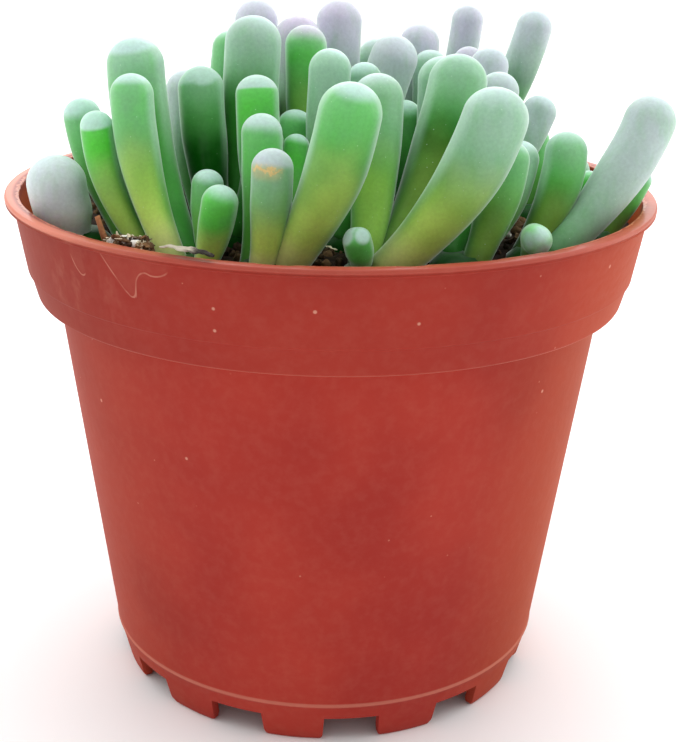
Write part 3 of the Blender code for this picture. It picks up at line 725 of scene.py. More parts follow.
def pot_finish():
    """Terracotta plastic with depth of colour, painted light and shade, worn lip edge, dried drips, dust
    specks and fine ripples.
    """
    finish, shader, place = new_finish("terracotta_plastic_fine", 0.6, Specular_IOR_Level=0.1,
                                       Coat_Roughness=0.22)
    angle, height, radius = pot_place(place)
    flank = abs(angle)
    fading = ramp(flank, 150.0, 76.0)
    broad = grain(place, 22.0)
    fine = grain(place, 1.4, 3.0, 0.6)
    # painted light: the flanks are painted lighter and more orange where the side light and the bright
    # surround fall, more at the right
    lit_flanks = ramp(flank, 25.0, 78.0) * fading * ramp(angle, -60.0, 40.0, 0.25, 0.6)
    colour = blend(ramp(broad, 0.35, 0.7), POT_RED, POT_DEEP)
    colour = laid_on(colour, [(lit_flanks, POT_LIT_ORANGE), (ramp(fine, 0.35, 0.8, 0.0, 0.05), POT_PALE)])
    # the band is double, so it is deeper; at the right it is painted lighter, where the side light falls;
    # the flanks are painted darker than the front, painted shade against the side lamps
    right = ramp(angle, 22.0, 52.0) * fading * ramp(height, 52.6, 54.0)
    band = right * 0.24 + ramp(height, 52.6, 54.0, 1.0, 0.86)
    colour = shaded(colour, band * ramp(flank, 12.0, 58.0, 1.0, 0.8))
    # painted highlight: the top of the lip's roll is painted pale, most at the left; the lip is also worn
    # light at its inner edge
    rolled = ramp(height, 66.0, 66.6)
    lip_highlight = rolled * ramp(radius, 41.0, 41.7) * (near(angle, -90.0, 35.0, 30.0) * 0.56 + 0.12)
    ragged = radius + ramp(grain(place, 1.1, 3.0, 0.7), 0.3, 0.75, -0.25, 0.25)
    worn = rolled * near(ragged, 40.75, 0.1, 0.16) * 0.55
    # painted light: the wall inside is painted lighter and more orange, where the light from above falls on
    # it
    inside = ramp(height, 60.0, 62.0) * ramp(radius, 40.55, 40.35) * 0.45
    # painted highlights: pale lines along the crease over the feet and along the lower edge of the band,
    # the latter stronger at the right where the side light falls
    crease = near(height, 5.95, 0.12, 0.25) * 0.35
    shelf = near(height, 53.35, 0.25, 0.3) * (right * 0.35 + 0.3)
    colour = laid_on(colour, dried_marks(place, angle, height) + [
        (lip_highlight, POT_LIP_HIGHLIGHT), (worn, POT_WORN), (inside, POT_LIT_ORANGE), (crease, POT_PALE), (shelf, POT_PALE)])
    colour.into(shader, "Base Color")
    (rolled * 0.4).into(shader, "Coat Weight")
    ripples = Field(add(place.tree, "ShaderNodeTexWave", {
        "Vector": place, "Scale": 1.0 / (5.5 * MM), "Distortion": 7.0, "Detail": 2.0,
        "Detail Scale": 1.5}, bands_direction="Z"), "Fac")
    side = ramp(angle, 34.0, 52.0) * ramp(angle, 100.0, 80.0) * ramp(height, 57.0, 59.0)
    bump(shader, ripples * side * 0.25 + fine * 0.25 + broad * 1.2, 0.25)
    return finish


place_piece(pot, pot_finish(), "pot")
print("pot ready")

# %% [markdown]
# ## Where the heads stand
# The plant is a clump of heads, each a few leaves on a short crown in the mix. Where the photograph
# shows a tip, its place, height and thickness are read from it; the leaves behind are guessed. They
# are written down head by head, because the mix, the leaves and their looks all start from them.

# %% List the heads
# each head: its crown's place and radius, then for each leaf the place of its tip, the tip's height
# over the mix and its diameter
HEADS = {
    "head_left": ((-23.0, -20.0, 3.4), (
        (-31.2, -9.0, 14.2, 4.8), (-27.6, -18.5, 14.6, 4.0), (-24.5, -8.5, 11.5, 4.4))),
    "head_front_left": ((-16.5, -25.0, 4.0), (
        (-23.4, -20.0, 18.6, 5.3), (-23.9, -12.0, 21.0, 7.0),
        (-12.7, -27.5, 7.8, 4.4), (-14.5, -22.0, 8.7, 3.8))),
    "head_front": ((-7.0, -26.0, 4.2), (
        (-6.6, -28.0, 11.9, 4.9), (-8.2, -21.0, 14.5, 5.0), (1.9, -30.0, 18.5, 7.5),
        (-9.1, -15.0, 18.1, 5.2), (-4.4, -14.5, 11.9, 3.4))),
    "head_front_right": ((5.6, -26.1, 4.2), (
        (17.9, -29.0, 18.1, 7.5), (3.0, -30.2, 4.2, 3.4),
        (14.9, -14.0, 20.0, 7.1), (5.3, -16.5, 18.2, 6.4))),
    "head_right_pair": ((15.5, -22.5, 3.8), (
        (20.8, -19.5, 11.7, 5.2), (23.5, -13.0, 10.3, 5.0), (20.0, -6.0, 17.9, 5.2))),
    "head_right": ((25.0, -19.0, 3.8), (
        (27.2, -14.0, 11.9, 5.5), (23.9, -25.8, 3.2, 3.7), (38.7, -12.0, 15.4, 6.7))),
    "head_far_right": ((33.0, -10.0, 3.4), (
        (39.2, -8.0, 7.2, 3.6), (32.4, -9.0, 6.4, 4.2))),
    "head_mid_left": ((-13.5, -10.0, 4.2), (
        (-16.3, -8.0, 17.7, 6.0), (-18.8, -3.0, 16.7, 5.6),
        (-12.7, 3.0, 21.2, 5.2), (-10.1, -3.0, 22.8, 7.3), (-8.5, -9.5, 12.0, 4.8))),
    "head_middle": ((0.0, -12.0, 4.0), (
        (-0.4, -10.0, 20.6, 5.5), (3.8, -6.0, 19.1, 4.3),
        (8.4, 2.0, 20.5, 6.4), (-3.6, 2.0, 22.1, 5.6), (-5.5, -6.0, 13.0, 4.6))),
    "head_mid_right": ((13.0, -9.0, 4.0), (
        (13.3, -6.5, 19.0, 6.3), (20.4, 3.0, 19.7, 5.3),
        (13.7, 10.0, 18.5, 4.9), (26.9, 0.0, 14.4, 4.6), (9.0, -3.5, 14.0, 4.8))),
    "head_back": ((-4.0, 6.0, 4.2), (
        (-10.5, 12.0, 24.1, 6.1), (-5.0, 8.0, 22.3, 6.4),
        (0.7, 15.0, 23.9, 6.4), (7.8, 7.5, 19.6, 5.6),
        (-10.5, 4.0, 14.0, 5.2), (2.0, 3.0, 15.0, 5.0))),
    "head_back_right": ((14.0, 13.0, 4.0), (
        (11.9, 16.0, 21.1, 5.7), (17.6, 10.0, 19.4, 4.6),
        (27.6, 15.0, 23.6, 5.2), (22.5, 20.5, 14.0, 5.4), (18.5, 17.0, 13.0, 4.8))),
    "head_rear_right": ((13.0, 26.0, 3.8), (
        (19.2, 24.0, 23.6, 4.6), (13.0, 32.5, 16.5, 6.0),
        (6.5, 27.0, 17.5, 6.4), (18.5, 31.0, 10.5, 5.2))),
    "head_rear": ((-3.0, 22.0, 3.8), (
        (-7.5, 30.5, 15.0, 6.2), (1.5, 33.5, 14.0, 5.4), (-0.5, 24.0, 18.5, 6.0),
        (-9.5, 21.0, 13.5, 5.4), (4.5, 19.5, 14.0, 5.0))),
    "head_rear_left": ((-16.2, 16.8, 4.3), (
        (-24.0, 21.0, 10.5, 5.8), (-16.5, 27.5, 12.0, 6.4), (-12.5, 18.5, 15.0, 5.6),
        (-18.0, 11.0, 14.0, 5.0), (-24.0, 13.5, 11.5, 4.8))),
    "head_far_left": ((-25.0, 1.0, 3.8), (
        (-31.5, 3.5, 8.5, 5.2), (-27.0, 10.0, 9.5, 5.0), (-22.0, 0.5, 13.5, 5.0),
        (-28.5, -3.5, 6.0, 4.4), (-20.5, 6.0, 12.5, 4.8))),
    "head_side_right": ((27.0, 4.0, 3.6), (
        (33.0, 8.0, 4.5, 5.0), (27.5, 8.5, 9.0, 5.0), (35.0, 0.5, 4.0, 4.2),
        (22.0, 7.0, 12.0, 4.8))),
    "head_far_rear": ((25.0, 18.0, 3.4), (
        (29.5, 20.5, 6.0, 4.8), (24.5, 27.5, 9.5, 5.6))),
    "head_left_edge": ((-30.8, -14.1, 3.8), (
        (-32.5, -15.0, 7.4, 7.3),)),
}
CROWNS = np.array([crown for crown, _ in HEADS.values()])
print("heads:", len(HEADS), "with", sum(len(leaves) for _, leaves in HEADS.values()), "leaves")

# %% [markdown]
# ## Potting mix
# The pot is filled with dark peat and fine bark nearly to the lip. Its surface is a low field of
# crumbs, so the top is a round grid whose height comes from slow waves and layered noise. It dips
# into a plain hole at each crown. A small heap lies against the wall at the front left, where the
# mix shows.

# %% Shape the potting mix
SOIL_LEVEL = 62.6
SOIL_GAP = 0.4
SOIL_WAVE = 0.3
MOUND_PLACE = (-22.8, -30.5)
MOUND_SPREAD = 4.0
HEAP_PLACE = (-24.4, -28.8)
MOUND_HEIGHT = 3.7
CROWN_DEPTH = 5.0
CROWN_RISE = 0.8
CROWN_RIM = 0.7
DIP_REACH = 2.6
SOIL_COLUMNS = 300
SOIL_ROWS = 84


def soil_height(x, y):
    """Height of the mix: its level, slow waves and the heap by the wall."""
    waves = np.sin(0.31 * x + 1.3) * np.cos(0.27 * y - 0.4) + 0.6 * np.sin(0.53 * y + 0.37 * x)
    off = (x - MOUND_PLACE[0]) ** 2 + (y - MOUND_PLACE[1]) ** 2
    return SOIL_LEVEL + SOIL_WAVE * waves + MOUND_HEIGHT * np.exp(-off / (2 * MOUND_SPREAD ** 2))


def from_crowns(x, y):
    """Distance of each place from the rim of the nearest crown."""
    return (np.hypot(x[..., None] - CROWNS[:, 0], y[..., None] - CROWNS[:, 1]) - CROWNS[:, 2]).min(axis=-1)


def soil_surface(x, y):
    """Crumbly height of the mix, with a steep hole round every crown."""
    flat = np.stack([x, y, np.zeros_like(x)], axis=-1)
    crumbs = 0.32 * layered_noise(flat, 2.2, 11, 3) + 0.12 * np.abs(value_noise(flat, 0.9, 19))
    height = soil_height(x, y) - 0.35 + crumbs
    nearest = from_crowns(x, y)
    slope = SOIL_LEVEL - 1.8 + 1.5 * (nearest - CROWN_RIM)
    hole = np.where(nearest < CROWN_RIM, SOIL_LEVEL - CROWN_DEPTH - 0.4, slope)
    return np.minimum(height, np.where(nearest < DIP_REACH, hole, height))


def make_soil():
    """Sides that follow the inside of the pot, and a fine crumbly top."""
    inner = -WALL - SOIL_GAP
    sides = np.array([
        (AXIS_GAP, FLOOR_TOP + SOIL_GAP), (body_radius(FLOOR_TOP) + inner - 1.0, FLOOR_TOP + SOIL_GAP),
        (body_radius(FLOOR_TOP + 1.0) + inner, FLOOR_TOP + 1.0 + SOIL_GAP),
        (body_radius(LEDGE) + inner - 0.2, LEDGE + 0.2), (band_radius(LEDGE) + inner - 1.3, LEDGE + 1.0),
        (band_radius(STEP_HEIGHT) + inner - 0.1, STEP_HEIGHT + 0.6)])
    top = (band_radius(SOIL_LEVEL) + inner) * np.linspace(1.0, 0.006, SOIL_ROWS)
    reach = np.concatenate([sides[:, 0], top])[:, None]
    turn = round_angles(SOIL_COLUMNS)
    x, y = reach * np.cos(turn), reach * np.sin(turn)
    low = len(sides)
    height = np.vstack([np.repeat(sides[:, 1:], SOIL_COLUMNS, axis=1), soil_surface(x[low:], y[low:])])
    return mesh_piece("soil_fine", closed_tube(np.stack([x, y, height], axis=-1)))


soil = make_soil()
print("soil faces:", len(soil.data.polygons))

# %% [markdown]
# ## Crumbs, bark, straw and grit
# The top of a potting mix is loose: crumbs of peat, flakes of bark, bits of straw and a few white
# grains of perlite. Each kind is one small shape of a few dozen faces, stretched and turned at random
# and repeated; a value per crumb varies its colour. More of them lie on the heap at the front left.

# %% Shape one stone and one sliver
def lump(seed, roughness=0.22):
    """A stone of four rings of eight: a ball whose radius is shaken at random, cut off at its poles."""
    shaken = np.random.default_rng(seed).uniform(-1.0, 1.0, (6, 8))[1:-1]
    tilt, turn = np.radians([-50, -15, 20, 55])[:, None], round_angles(8)
    ball = [np.cos(tilt) * np.cos(turn), np.cos(tilt) * np.sin(turn), np.sin(tilt) * np.ones(8)]
    return closed_tube(np.stack(ball, axis=-1) * (1.0 + roughness * shaken)[..., None])


def strip(seed):
    """A thin bent sliver along X with a flat four-sided section."""
    chance = np.random.default_rng(seed)
    bends = [0.35 * chance.uniform(-span, span, 6) for span in (0.4, 0.3)]
    middle = np.stack([np.linspace(-1.0, 1.0, 6), *bends], axis=1)
    width = np.array([0.4, 0.9, 1.0, 0.95, 0.8, 0.3])
    corners = np.array([(0, -1, -1), (0, 1, -1), (0, 1, 1), (0, -1, 1)]) * (0.0, 0.16, 0.09)
    return closed_tube(middle[:, None] + corners * width[:, None, None])


print("points of a stone and a sliver:", len(lump(0)[0]), len(strip(0)[0]))

# %% [markdown]
# ## Scatter them on the mix
# A particle system could scatter the bits, but then each of them would be an object of its own. Here
# the places, sizes and turns are drawn with a fixed seed and all copies of a kind are joined in one
# mesh. The order of the draws matters: another order would give another heap.

# %% Scatter the loose bits
BITS_CIRCLE = 38.4
BITS_LIMIT = 38.2
HEAP_SPREAD = (3.6, 3.0)
MOST_LEAN = 1.2
BIT_SHARP = 50.0


def turn_about(angles, first, second):
    """Turning matrices, one an angle, that carry the first axis towards the second."""
    turns = np.tile(np.eye(3), (len(angles), 1, 1))
    turns[:, first, first] = turns[:, second, second] = np.cos(angles)
    turns[:, second, first] = np.sin(angles)
    turns[:, first, second] = -np.sin(angles)
    return turns


def turned(count, chance, lean):
    """Random turns: any heading about the vertical, tipped and rolled by about lean radians."""
    heading = chance.uniform(0.0, 2 * np.pi, count)
    tip, roll = np.clip(chance.normal(0.0, lean, (count, 2)), -MOST_LEAN, MOST_LEAN).T
    return turn_about(heading, 0, 1) @ turn_about(tip, 2, 0) @ turn_about(roll, 1, 2)


def scatter(name, shapes, places, sizes, lean, chance):
    """Copies of a few shapes at given places and sizes, joined in one mesh with a shade per copy."""
    shade = chance.uniform(0.0, 1.0, len(places))
    spin = turned(len(places), chance, lean)
    kinds = chance.integers(0, len(shapes), len(places))
    surfaces, shades = [], []
    for kind, (points, quads, fans) in enumerate(shapes):
        mine = kinds == kind
        sized = points * sizes[mine][:, None]
        copies = np.einsum("nij,npj->npi", spin[mine], sized) + places[mine][:, None]
        surfaces += [(copy, quads, fans) for copy in copies]
        shades.append(np.repeat(shade[mine], len(points)))
    return mesh_piece(name, join_surfaces(surfaces), {"shade": np.concatenate(shades)}, sharp=BIT_SHARP)


def loose_places(count, chance, heap_share, clear):
    """Random places on the mix, clear of crowns and wall, some of them drawn on the heap."""
    many = count * 3
    radius = BITS_CIRCLE * np.sqrt(chance.uniform(0.0, 1.0, many))
    turn = chance.uniform(0.0, 2 * np.pi, many)
    heap = chance.uniform(0.0, 1.0, many) < heap_share
    x = np.where(heap, HEAP_PLACE[0] + chance.normal(0.0, HEAP_SPREAD[0], many), radius * np.cos(turn))
    y = np.where(heap, HEAP_PLACE[1] + chance.normal(0.0, HEAP_SPREAD[1], many), radius * np.sin(turn))
    keep = np.nonzero((from_crowns(x, y) > clear) & (np.hypot(x, y) < BITS_LIMIT))[0][:count]
    x, y = x[keep], y[keep]
    return np.stack([x, y, soil_surface(x, y)], axis=1)


def drawn_sizes(count, chance, ranges):
    """Sizes of the copies: a range for each axis, or one for all three and one for their unevenness."""
    if len(ranges) == 3:
        return np.stack([chance.uniform(*span, count) for span in ranges], axis=1)
    return chance.uniform(*ranges[0], (count, 1)) * chance.uniform(*ranges[1], (count, 3))


BITS = {
    # name: shapes, most copies, share on the heap, distance from a crown, ranges of size, lift in mm,
    # lift as a share of the height, lean in radians
    "soil_crumbs": ([lump(k) for k in range(4)], 1500, 0.25, 1.3, ((0.28, 0.75), (0.7, 1.25)),
                    0.0, 0.15, 0.6),
    "soil_bark": ([lump(k + 10, 0.3) for k in range(4)], 190, 0.55, 1.5,
                  ((0.8, 1.6), (0.5, 0.9), (0.18, 0.34)), 0.35, 0.0, 0.35),
    "soil_straw": ([strip(k + 30) for k in range(4)], 190, 0.75, 1.2,
                   ((0.6, 1.7), (0.8, 1.9), (1.0, 2.0)), 0.5, 0.0, 0.25),
    "soil_grit": ([lump(k + 50, 0.16) for k in range(3)], 100, 0.6, 1.2, ((0.35, 0.75), (0.8, 1.2)),
                  0.3, 0.0, 0.6),
}


def make_loose_bits():
    """Crumbs, bark flakes, straw slivers and perlite grains, each kind one joined mesh."""
    chance = np.random.default_rng(27)
    made = []
    for name, (shapes, most, heap_share, clear, ranges, lift, lift_share, lean) in BITS.items():
        places = loose_places(most, chance, heap_share, clear)
        sizes = drawn_sizes(len(places), chance, ranges)
        places[:, 2] += lift + lift_share * sizes[:, 2]
        made.append(scatter(name, shapes, places, sizes, lean, chance))
    return made


loose_bits = make_loose_bits()
print({bit.name: len(bit.data.polygons) for bit in loose_bits})

# %% [markdown]
# ## Finishes of the mix
# Damp peat is nearly black with brown fibres. Bark is red-brown, straw is pale yellow and perlite is
# white. They share one recipe: a dark and a light colour, chosen for each crumb by its own shade and
# broken up by fine noise.

# %% Make the finishes of the mix
BIT_COLOURS = {
    "soil_crumbs": (srgb(34, 24, 18), srgb(120, 92, 64)),
    "soil_bark": (srgb(50, 33, 22), srgb(134, 96, 64)),
    "soil_straw": (srgb(84, 58, 36), srgb(244, 230, 200)),
    "soil_grit": (srgb(170, 160, 146), srgb(236, 232, 224)),
}


def earthy(name, dark, light, roughness=0.95, cell=0.6):
    """Two colours blended by a copy's shade and by fine noise, with a rough relief."""
    finish, shader, place = new_finish(name, roughness, Specular_IOR_Level=0.25)
    fine = grain(place, cell, 3.0, 0.6)
    share = read(place, "shade") * 0.75 + fine * 0.9 - 0.32
    blend(ramp(share, 0.0, 1.0), dark, light).into(shader, "Base Color")
    bump(shader, fine, 0.3, 0.6)
    return finish


place_piece(soil, earthy("potting_mix_fine", srgb(38, 27, 20), srgb(104, 78, 55)), "soil")
for bit in loose_bits:
    place_piece(bit, earthy(f"{bit.name}_finish", *BIT_COLOURS[bit.name]), "soil")
print("mix ready")

# %% [markdown]
# ## How the leaves crowd together
# Every leaf is a club: slim at its root, full a little under its round tip. It grows out of a crown
# and bends so that it stays clear of its neighbours. The rule is simple: a leaf is a row of balls
# along a cubic curve, balls that come too close push each other apart, and the curve's control points
# follow the balls they weigh on most. After some rounds nothing overlaps and the clump looks grown.

# %% Start the leaves on their crowns
ROOT_GIRTH = 0.64
FULL_GIRTH_AT = 0.75
ROOT_SINK = 0.4
ROOT_CIRCLE = 0.8
OUTWARD_LEAN = 0.5
BOWED = {"head_left": 0.8, "head_front_left": 0.4}
LEANING = {"head_left": (-29.5, -17.5), "head_right": (30.5, -15.0)}
TALL = 9.0


def curve_weights(steps):
    """Weights of a cubic curve's four control points at each step along it."""
    t = steps[:, None]
    return np.hstack([(1 - t) ** 3, 3 * t * (1 - t) ** 2, 3 * t * t * (1 - t), t ** 3])


def girth(steps):
    """Radius along a leaf against its tip's radius: slim at the root, full a little below the tip."""
    share = np.clip(steps / FULL_GIRTH_AT, 0.0, 1.0)
    return ROOT_GIRTH + (1 - ROOT_GIRTH) * share ** 2 * (3 - 2 * share)


def lengths(vectors):
    """Lengths of vectors, never quite zero."""
    return np.linalg.norm(vectors, axis=-1) + 1e-9


def straight_crowd():
    """Control points of every leaf before they make room: out of the crown, then up to the tip."""
    controls, radii, head_of, crowns = [], [], [], []
    for number, (name, (crown, leaves)) in enumerate(HEADS.items()):
        for x, y, height, width in leaves:
            tip = np.array([x, y, SOIL_LEVEL + height])
            outward = tip[:2] - np.array(LEANING.get(name, crown[:2]))
            outward = outward / lengths(outward)
            ring = ROOT_CIRCLE * (crown[2] - 0.5 * width * ROOT_GIRTH)
            root = np.array([*(np.array(crown[:2]) + ring * outward), SOIL_LEVEL - ROOT_SINK])
            chord = tip - root
            tall = min(max(height / TALL - 1.0, 0.0), 1.0)
            flat = (OUTWARD_LEAN + BOWED.get(name, 0.0) * tall) * chord * (1.0, 1.0, 0.0)
            controls.append([root, root + (chord + flat) / 3, tip - (chord - flat) / 3, tip])
            radii.append(width / 2)
            head_of.append(number)
            crowns.append(crown)
    return np.array(controls), np.array(radii), np.array(head_of), np.array(crowns)


print("control points before the leaves make room:", straight_crowd()[0].shape)

# %% [markdown]
# ## Push the leaves apart
# A physics simulation could settle the clump too, but it would need many settings to stay calm. This
# loop needs three pushes only: from ball to ball, off the pot and off the mix. The mean of the pushes
# is taken where several balls touch one, so that nothing jumps, and each curve is drawn back a little
# towards its wished form.

# %% Let the leaves make room
LEAF_GAP = 0.42
SISTER_GAP = 0.12
SISTER_SHARE = (0.72, 0.62)
SISTERS_FREE_BELOW = 0.45
SOIL_CLEARANCE = 0.8
CLEAR_FROM = 0.35
CROWD_STEPS = 200
CROWD_SAMPLES = 11
FOLLOW = 1.6
HOMEWARD = 0.004
LAST_STRETCH = 0.28
LAST_GIRTHS = 1.3


def distances_needed(ball, along, leaf_of, sister_of):
    """How far apart each two balls have to be: less for leaves of one crown, and nothing on one leaf."""
    sisters = sister_of[:, None] == sister_of
    lower = np.minimum(along[:, None], along)
    share = np.where(sisters, np.clip(SISTER_SHARE[0] + SISTER_SHARE[1] * lower, 0.0, 1.0), 1.0)
    gap = np.where(sisters, np.where(lower < SISTERS_FREE_BELOW, 0.0, SISTER_GAP), LEAF_GAP)
    needed = (ball[:, None] + ball) * share + gap
    needed[leaf_of[:, None] == leaf_of] = 0.0
    return needed


def push_apart(middles, needed):
    """Half of what is missing between balls that are too close, as a mean over the balls that touch."""
    squares = (middles ** 2).sum(axis=1)
    apart = squares[:, None] + squares[None] - 2 * middles @ middles.T
    first, second = np.nonzero(apart < needed ** 2)
    line = middles[first] - middles[second]
    length = lengths(line)
    missing = np.clip(needed[first, second] - length, 0.0, None)
    push = np.zeros_like(middles)
    touching = np.zeros(len(middles))
    np.add.at(push, first, line / length[:, None] * missing[:, None] * 0.5)
    np.add.at(touching, first, 1.0)
    return push / np.maximum(touching, 1.0)[:, None]


def push_off_pot(middles, ball):
    """What moves the balls clear of the wall inside the pot and of its rolled lip."""
    push = np.zeros_like(middles)
    reach = np.hypot(middles[:, 0], middles[:, 1]) + 1e-9
    outward = middles[:, :2] / reach[:, None]
    lip_inner, lip_outer = LIP_RADIUS - LIP_WIDTH + LIP_ROLL, LIP_RADIUS - LIP_ROLL
    within = (middles[:, 2] < LIP_HEIGHT) & (reach < lip_inner)
    over = np.clip(reach + ball + LEAF_GAP - (band_radius(SOIL_LEVEL) - WALL), 0.0, None) * within
    push[:, :2] -= outward * over[:, None]
    to_lip = np.stack([reach - np.clip(reach, lip_inner, lip_outer), middles[:, 2] - LIP_HEIGHT], axis=1)
    distance = lengths(to_lip)
    over = np.clip(ball + LIP_ROLL + LEAF_GAP - distance, 0.0, None)
    push[:, :2] += outward * (to_lip[:, 0] / distance * over)[:, None]
    push[:, 2] += to_lip[:, 1] / distance * over
    return push


def make_room():
    """Bend the crowded leaves clear of one another, of the pot's lip and of the potting mix.

    Every leaf is a row of balls along its curve. Balls that come too close push each other apart by
    half of what is missing, and each control point follows the balls that it weighs on most.
    """
    controls, radii, head_of, crowns = straight_crowd()
    wished = controls.copy()
    steps = np.linspace(0.0, 1.0, CROWD_SAMPLES)
    weights = curve_weights(steps)
    along = np.tile(steps, len(controls))
    leaf_of = np.repeat(np.arange(len(controls)), CROWD_SAMPLES)
    ball = (girth(steps)[None] * radii[:, None]).ravel()
    needed = distances_needed(ball, along, leaf_of, head_of[leaf_of])
    # a leaf that is alone on its crown stands over its own hole, clear of the mix
    over_mix = (along > CLEAR_FROM) & (np.bincount(head_of)[head_of[leaf_of]] > 1)
    for _ in range(CROWD_STEPS):
        middles = np.einsum("mk,nkc->nmc", weights, controls).reshape(-1, 3)
        push = push_apart(middles, needed) + push_off_pot(middles, ball)
        ground = soil_height(middles[:, 0], middles[:, 1]) + SOIL_CLEARANCE + ball
        push[:, 2] += np.clip(ground - middles[:, 2], 0.0, None) * over_mix
        pushes = push.reshape(len(controls), CROWD_SAMPLES, 3)
        move = FOLLOW * np.einsum("mk,nmc->nkc", weights, pushes) / weights.sum(axis=0)[:, None]
        move[:, 0, 2] = 0.0
        controls += move
        controls[:, 1:] += HOMEWARD * (wished[:, 1:] - controls[:, 1:])
        # a leaf's last stretch stays long enough for its girth
        reach = controls[:, 3] - controls[:, 2]
        chord = np.linalg.norm(controls[:, 3] - controls[:, 0], axis=1)
        least = np.maximum(LAST_STRETCH * chord, LAST_GIRTHS * radii)
        controls[:, 2] -= reach * (np.maximum(least / lengths(reach), 1.0) - 1.0)[:, None]
        # roots stay on their crown
        off = controls[:, 0, :2] - crowns[:, :2]
        limit = ROOT_CIRCLE * (crowns[:, 2] - radii * ROOT_GIRTH)
        controls[:, 0, :2] = crowns[:, :2] + off * np.minimum(1.0, limit / lengths(off))[:, None]
    return controls, radii, head_of


controls, leaf_radii, head_of = make_room()
print("leaves:", len(controls), "in", len(HEADS), "heads")

# %% [markdown]
# ## How a leaf looks
# Baby toes have a clear window at the tip, with the green tissue just below its edge, and a waxy
# bloom that makes old leaves grey. Young leaves at the front are yellow-green at the root; those at
# the back are grey-blue with a breath of mauve. Eight numbers describe a leaf. They follow a rule
# with seeded chance, and the leaves that the eye meets first have their own.

# %% Give every leaf its look
LOOK_NAMES = ("cap", "soft", "reach", "bloom", "mauve", "vivid", "gold", "dark")
# cap: depth of the window in mm; soft: width of its edge in mm; reach: how far down the bloom runs in
# mm; then the strength of the bloom, of the mauve tint, of the fresh green under the window, of the
# yellow at the root and of the painted shade lower down, a deep green; one row a leaf, in the order of
# its head
LOOKS = {
    "head_left_edge": ((0.3, 1.5, 90, 1.0, 0.05, 0.0, 0.0, 0.0),),
    "head_left": ((2.0, 0.7, 8, 0.3, 0.0, 0.5, 0.1, 0.45), (1.7, 0.25, 4, 0.15, 0.0, 1.0, 0.7, 0.0),
                  (1.2, 0.5, 6, 0.3, 0.0, 0.5, 0.0, 0.3)),
    "head_front_left": ((1.1, 0.45, 11, 0.3, 0.0, 0.75, 0.9, 0.0), (1.2, 0.4, 9, 0.62, 0.0, 0.9, 0.0, 0.15),
                        (0.8, 0.8, 4, 0.12, 0.0, 0.9, 1.0, 0.0), (1.0, 0.6, 6, 0.3, 0.0, 0.6, 0.2, 0.1)),
    "head_front": ((1.9, 0.35, 9, 0.45, 0.5, 0.35, 1.0, 0.0), (2.0, 0.8, 6, 0.25, 0.25, 0.7, 0.1, 0.05),
                   (0.85, 0.6, 7, 0.22, 0.0, 0.6, 0.9, 0.3), (1.75, 0.18, 5, 0.2, 0.2, 1.0, 0.0, 0.15),
                   (0.8, 0.6, 4, 0.1, 0.0, 0.8, 0.2, 0.3)),
    "head_front_right": ((0.8, 1.6, 13, 0.58, 0.15, 0.2, 0.85, 0.35),
                         (0.2, 0.3, 2, 0.12, 0.0, 0.5, 0.3, 0.6), (0.7, 0.7, 8, 0.55, 0.0, 0.3, 0.3, 1.0),
                         (1.3, 1.0, 12, 0.5, 0.25, 0.5, 0.5, 0.0)),
    "head_right_pair": ((1.0, 0.8, 6, 0.3, 0.0, 0.3, 0.3, 0.75), (1.0, 0.7, 10, 0.62, 0.05, 0.3, 0.2, 0.5),
                        (1.0, 1.2, 14, 0.9, 0.3, 0.1, 0.0, 0.2)),
    "head_right": ((1.2, 0.9, 6, 0.45, 0.0, 0.45, 0.3, 1.0), (0.25, 0.5, 3, 0.05, 0.0, 1.0, 0.3, 0.3),
                   (0.5, 1.6, 30, 0.88, 0.25, 0.6, 0.0, 0.0)),
    "head_far_right": ((1.0, 1.0, 5, 0.3, 0.0, 0.7, 0.4, 0.2), (0.5, 0.8, 4, 0.05, 0.0, 1.0, 0.2, 0.1)),
    "head_mid_left": ((2.1, 0.35, 6, 0.35, 0.1, 0.1, 0.0, 1.0), (1.0, 1.2, 14, 0.85, 0.5, 0.0, 0.0, 0.3),
                      (0.8, 0.8, 12, 0.35, 0.0, 0.6, 0.0, 0.0), (0.9, 0.9, 10, 0.72, 0.1, 0.4, 0.0, 0.5),
                      (1.0, 0.8, 6, 0.2, 0.0, 0.5, 0.0, 0.5)),
    "head_middle": ((0.8, 0.6, 20, 0.6, 0.0, 0.3, 0.3, 0.0), (0.9, 0.8, 10, 0.6, 0.0, 0.3, 0.0, 0.1),
                    (0.9, 1.4, 14, 0.95, 0.4, 0.0, 0.0, 0.1), (1.2, 1.0, 4, 0.4, 0.95, 0.5, 0.6, 0.6),
                    (1.0, 0.8, 6, 0.2, 0.0, 0.5, 0.0, 0.5)),
    "head_mid_right": ((0.9, 1.0, 10, 0.5, 0.1, 0.2, 0.0, 0.3), (0.9, 1.4, 16, 1.0, 0.25, 0.0, 0.0, 0.1),
                       None, (1.1, 1.2, 13, 0.9, 0.1, 0.1, 0.0, 0.5),
                       (1.0, 0.8, 6, 0.2, 0.0, 0.5, 0.0, 0.7)),
    "head_back": ((0.9, 1.4, 20, 1.0, 0.6, 0.0, 0.0, 0.0), (1.1, 1.2, 16, 0.95, 0.95, 0.1, 0.5, 0.1),
                  (0.9, 1.6, 18, 1.0, 0.75, 0.0, 0.0, 0.2), (0.9, 1.4, 14, 1.0, 0.5, 0.0, 0.0, 0.1)),
    "head_back_right": ((0.8, 1.4, 20, 1.0, 0.6, 0.0, 0.0, 0.0), (0.8, 1.4, 20, 1.0, 0.7, 0.0, 0.0, 0.0),
                        (0.8, 1.4, 13, 0.95, 0.35, 0.0, 0.0, 0.65)),
    "head_rear_right": ((0.8, 1.6, 22, 1.0, 0.6, 0.0, 0.0, 0.1),),
}
# leaves whose window has flat faces: how many, and how deep they cut
FACETS = {("head_mid_left", 0): (3, 0.93), ("head_front_right", 1): (3, 0.88),
          ("head_right_pair", 1): (2, 0.95), ("head_front", 1): (2, 0.96), ("head_right", 1): (3, 0.94)}


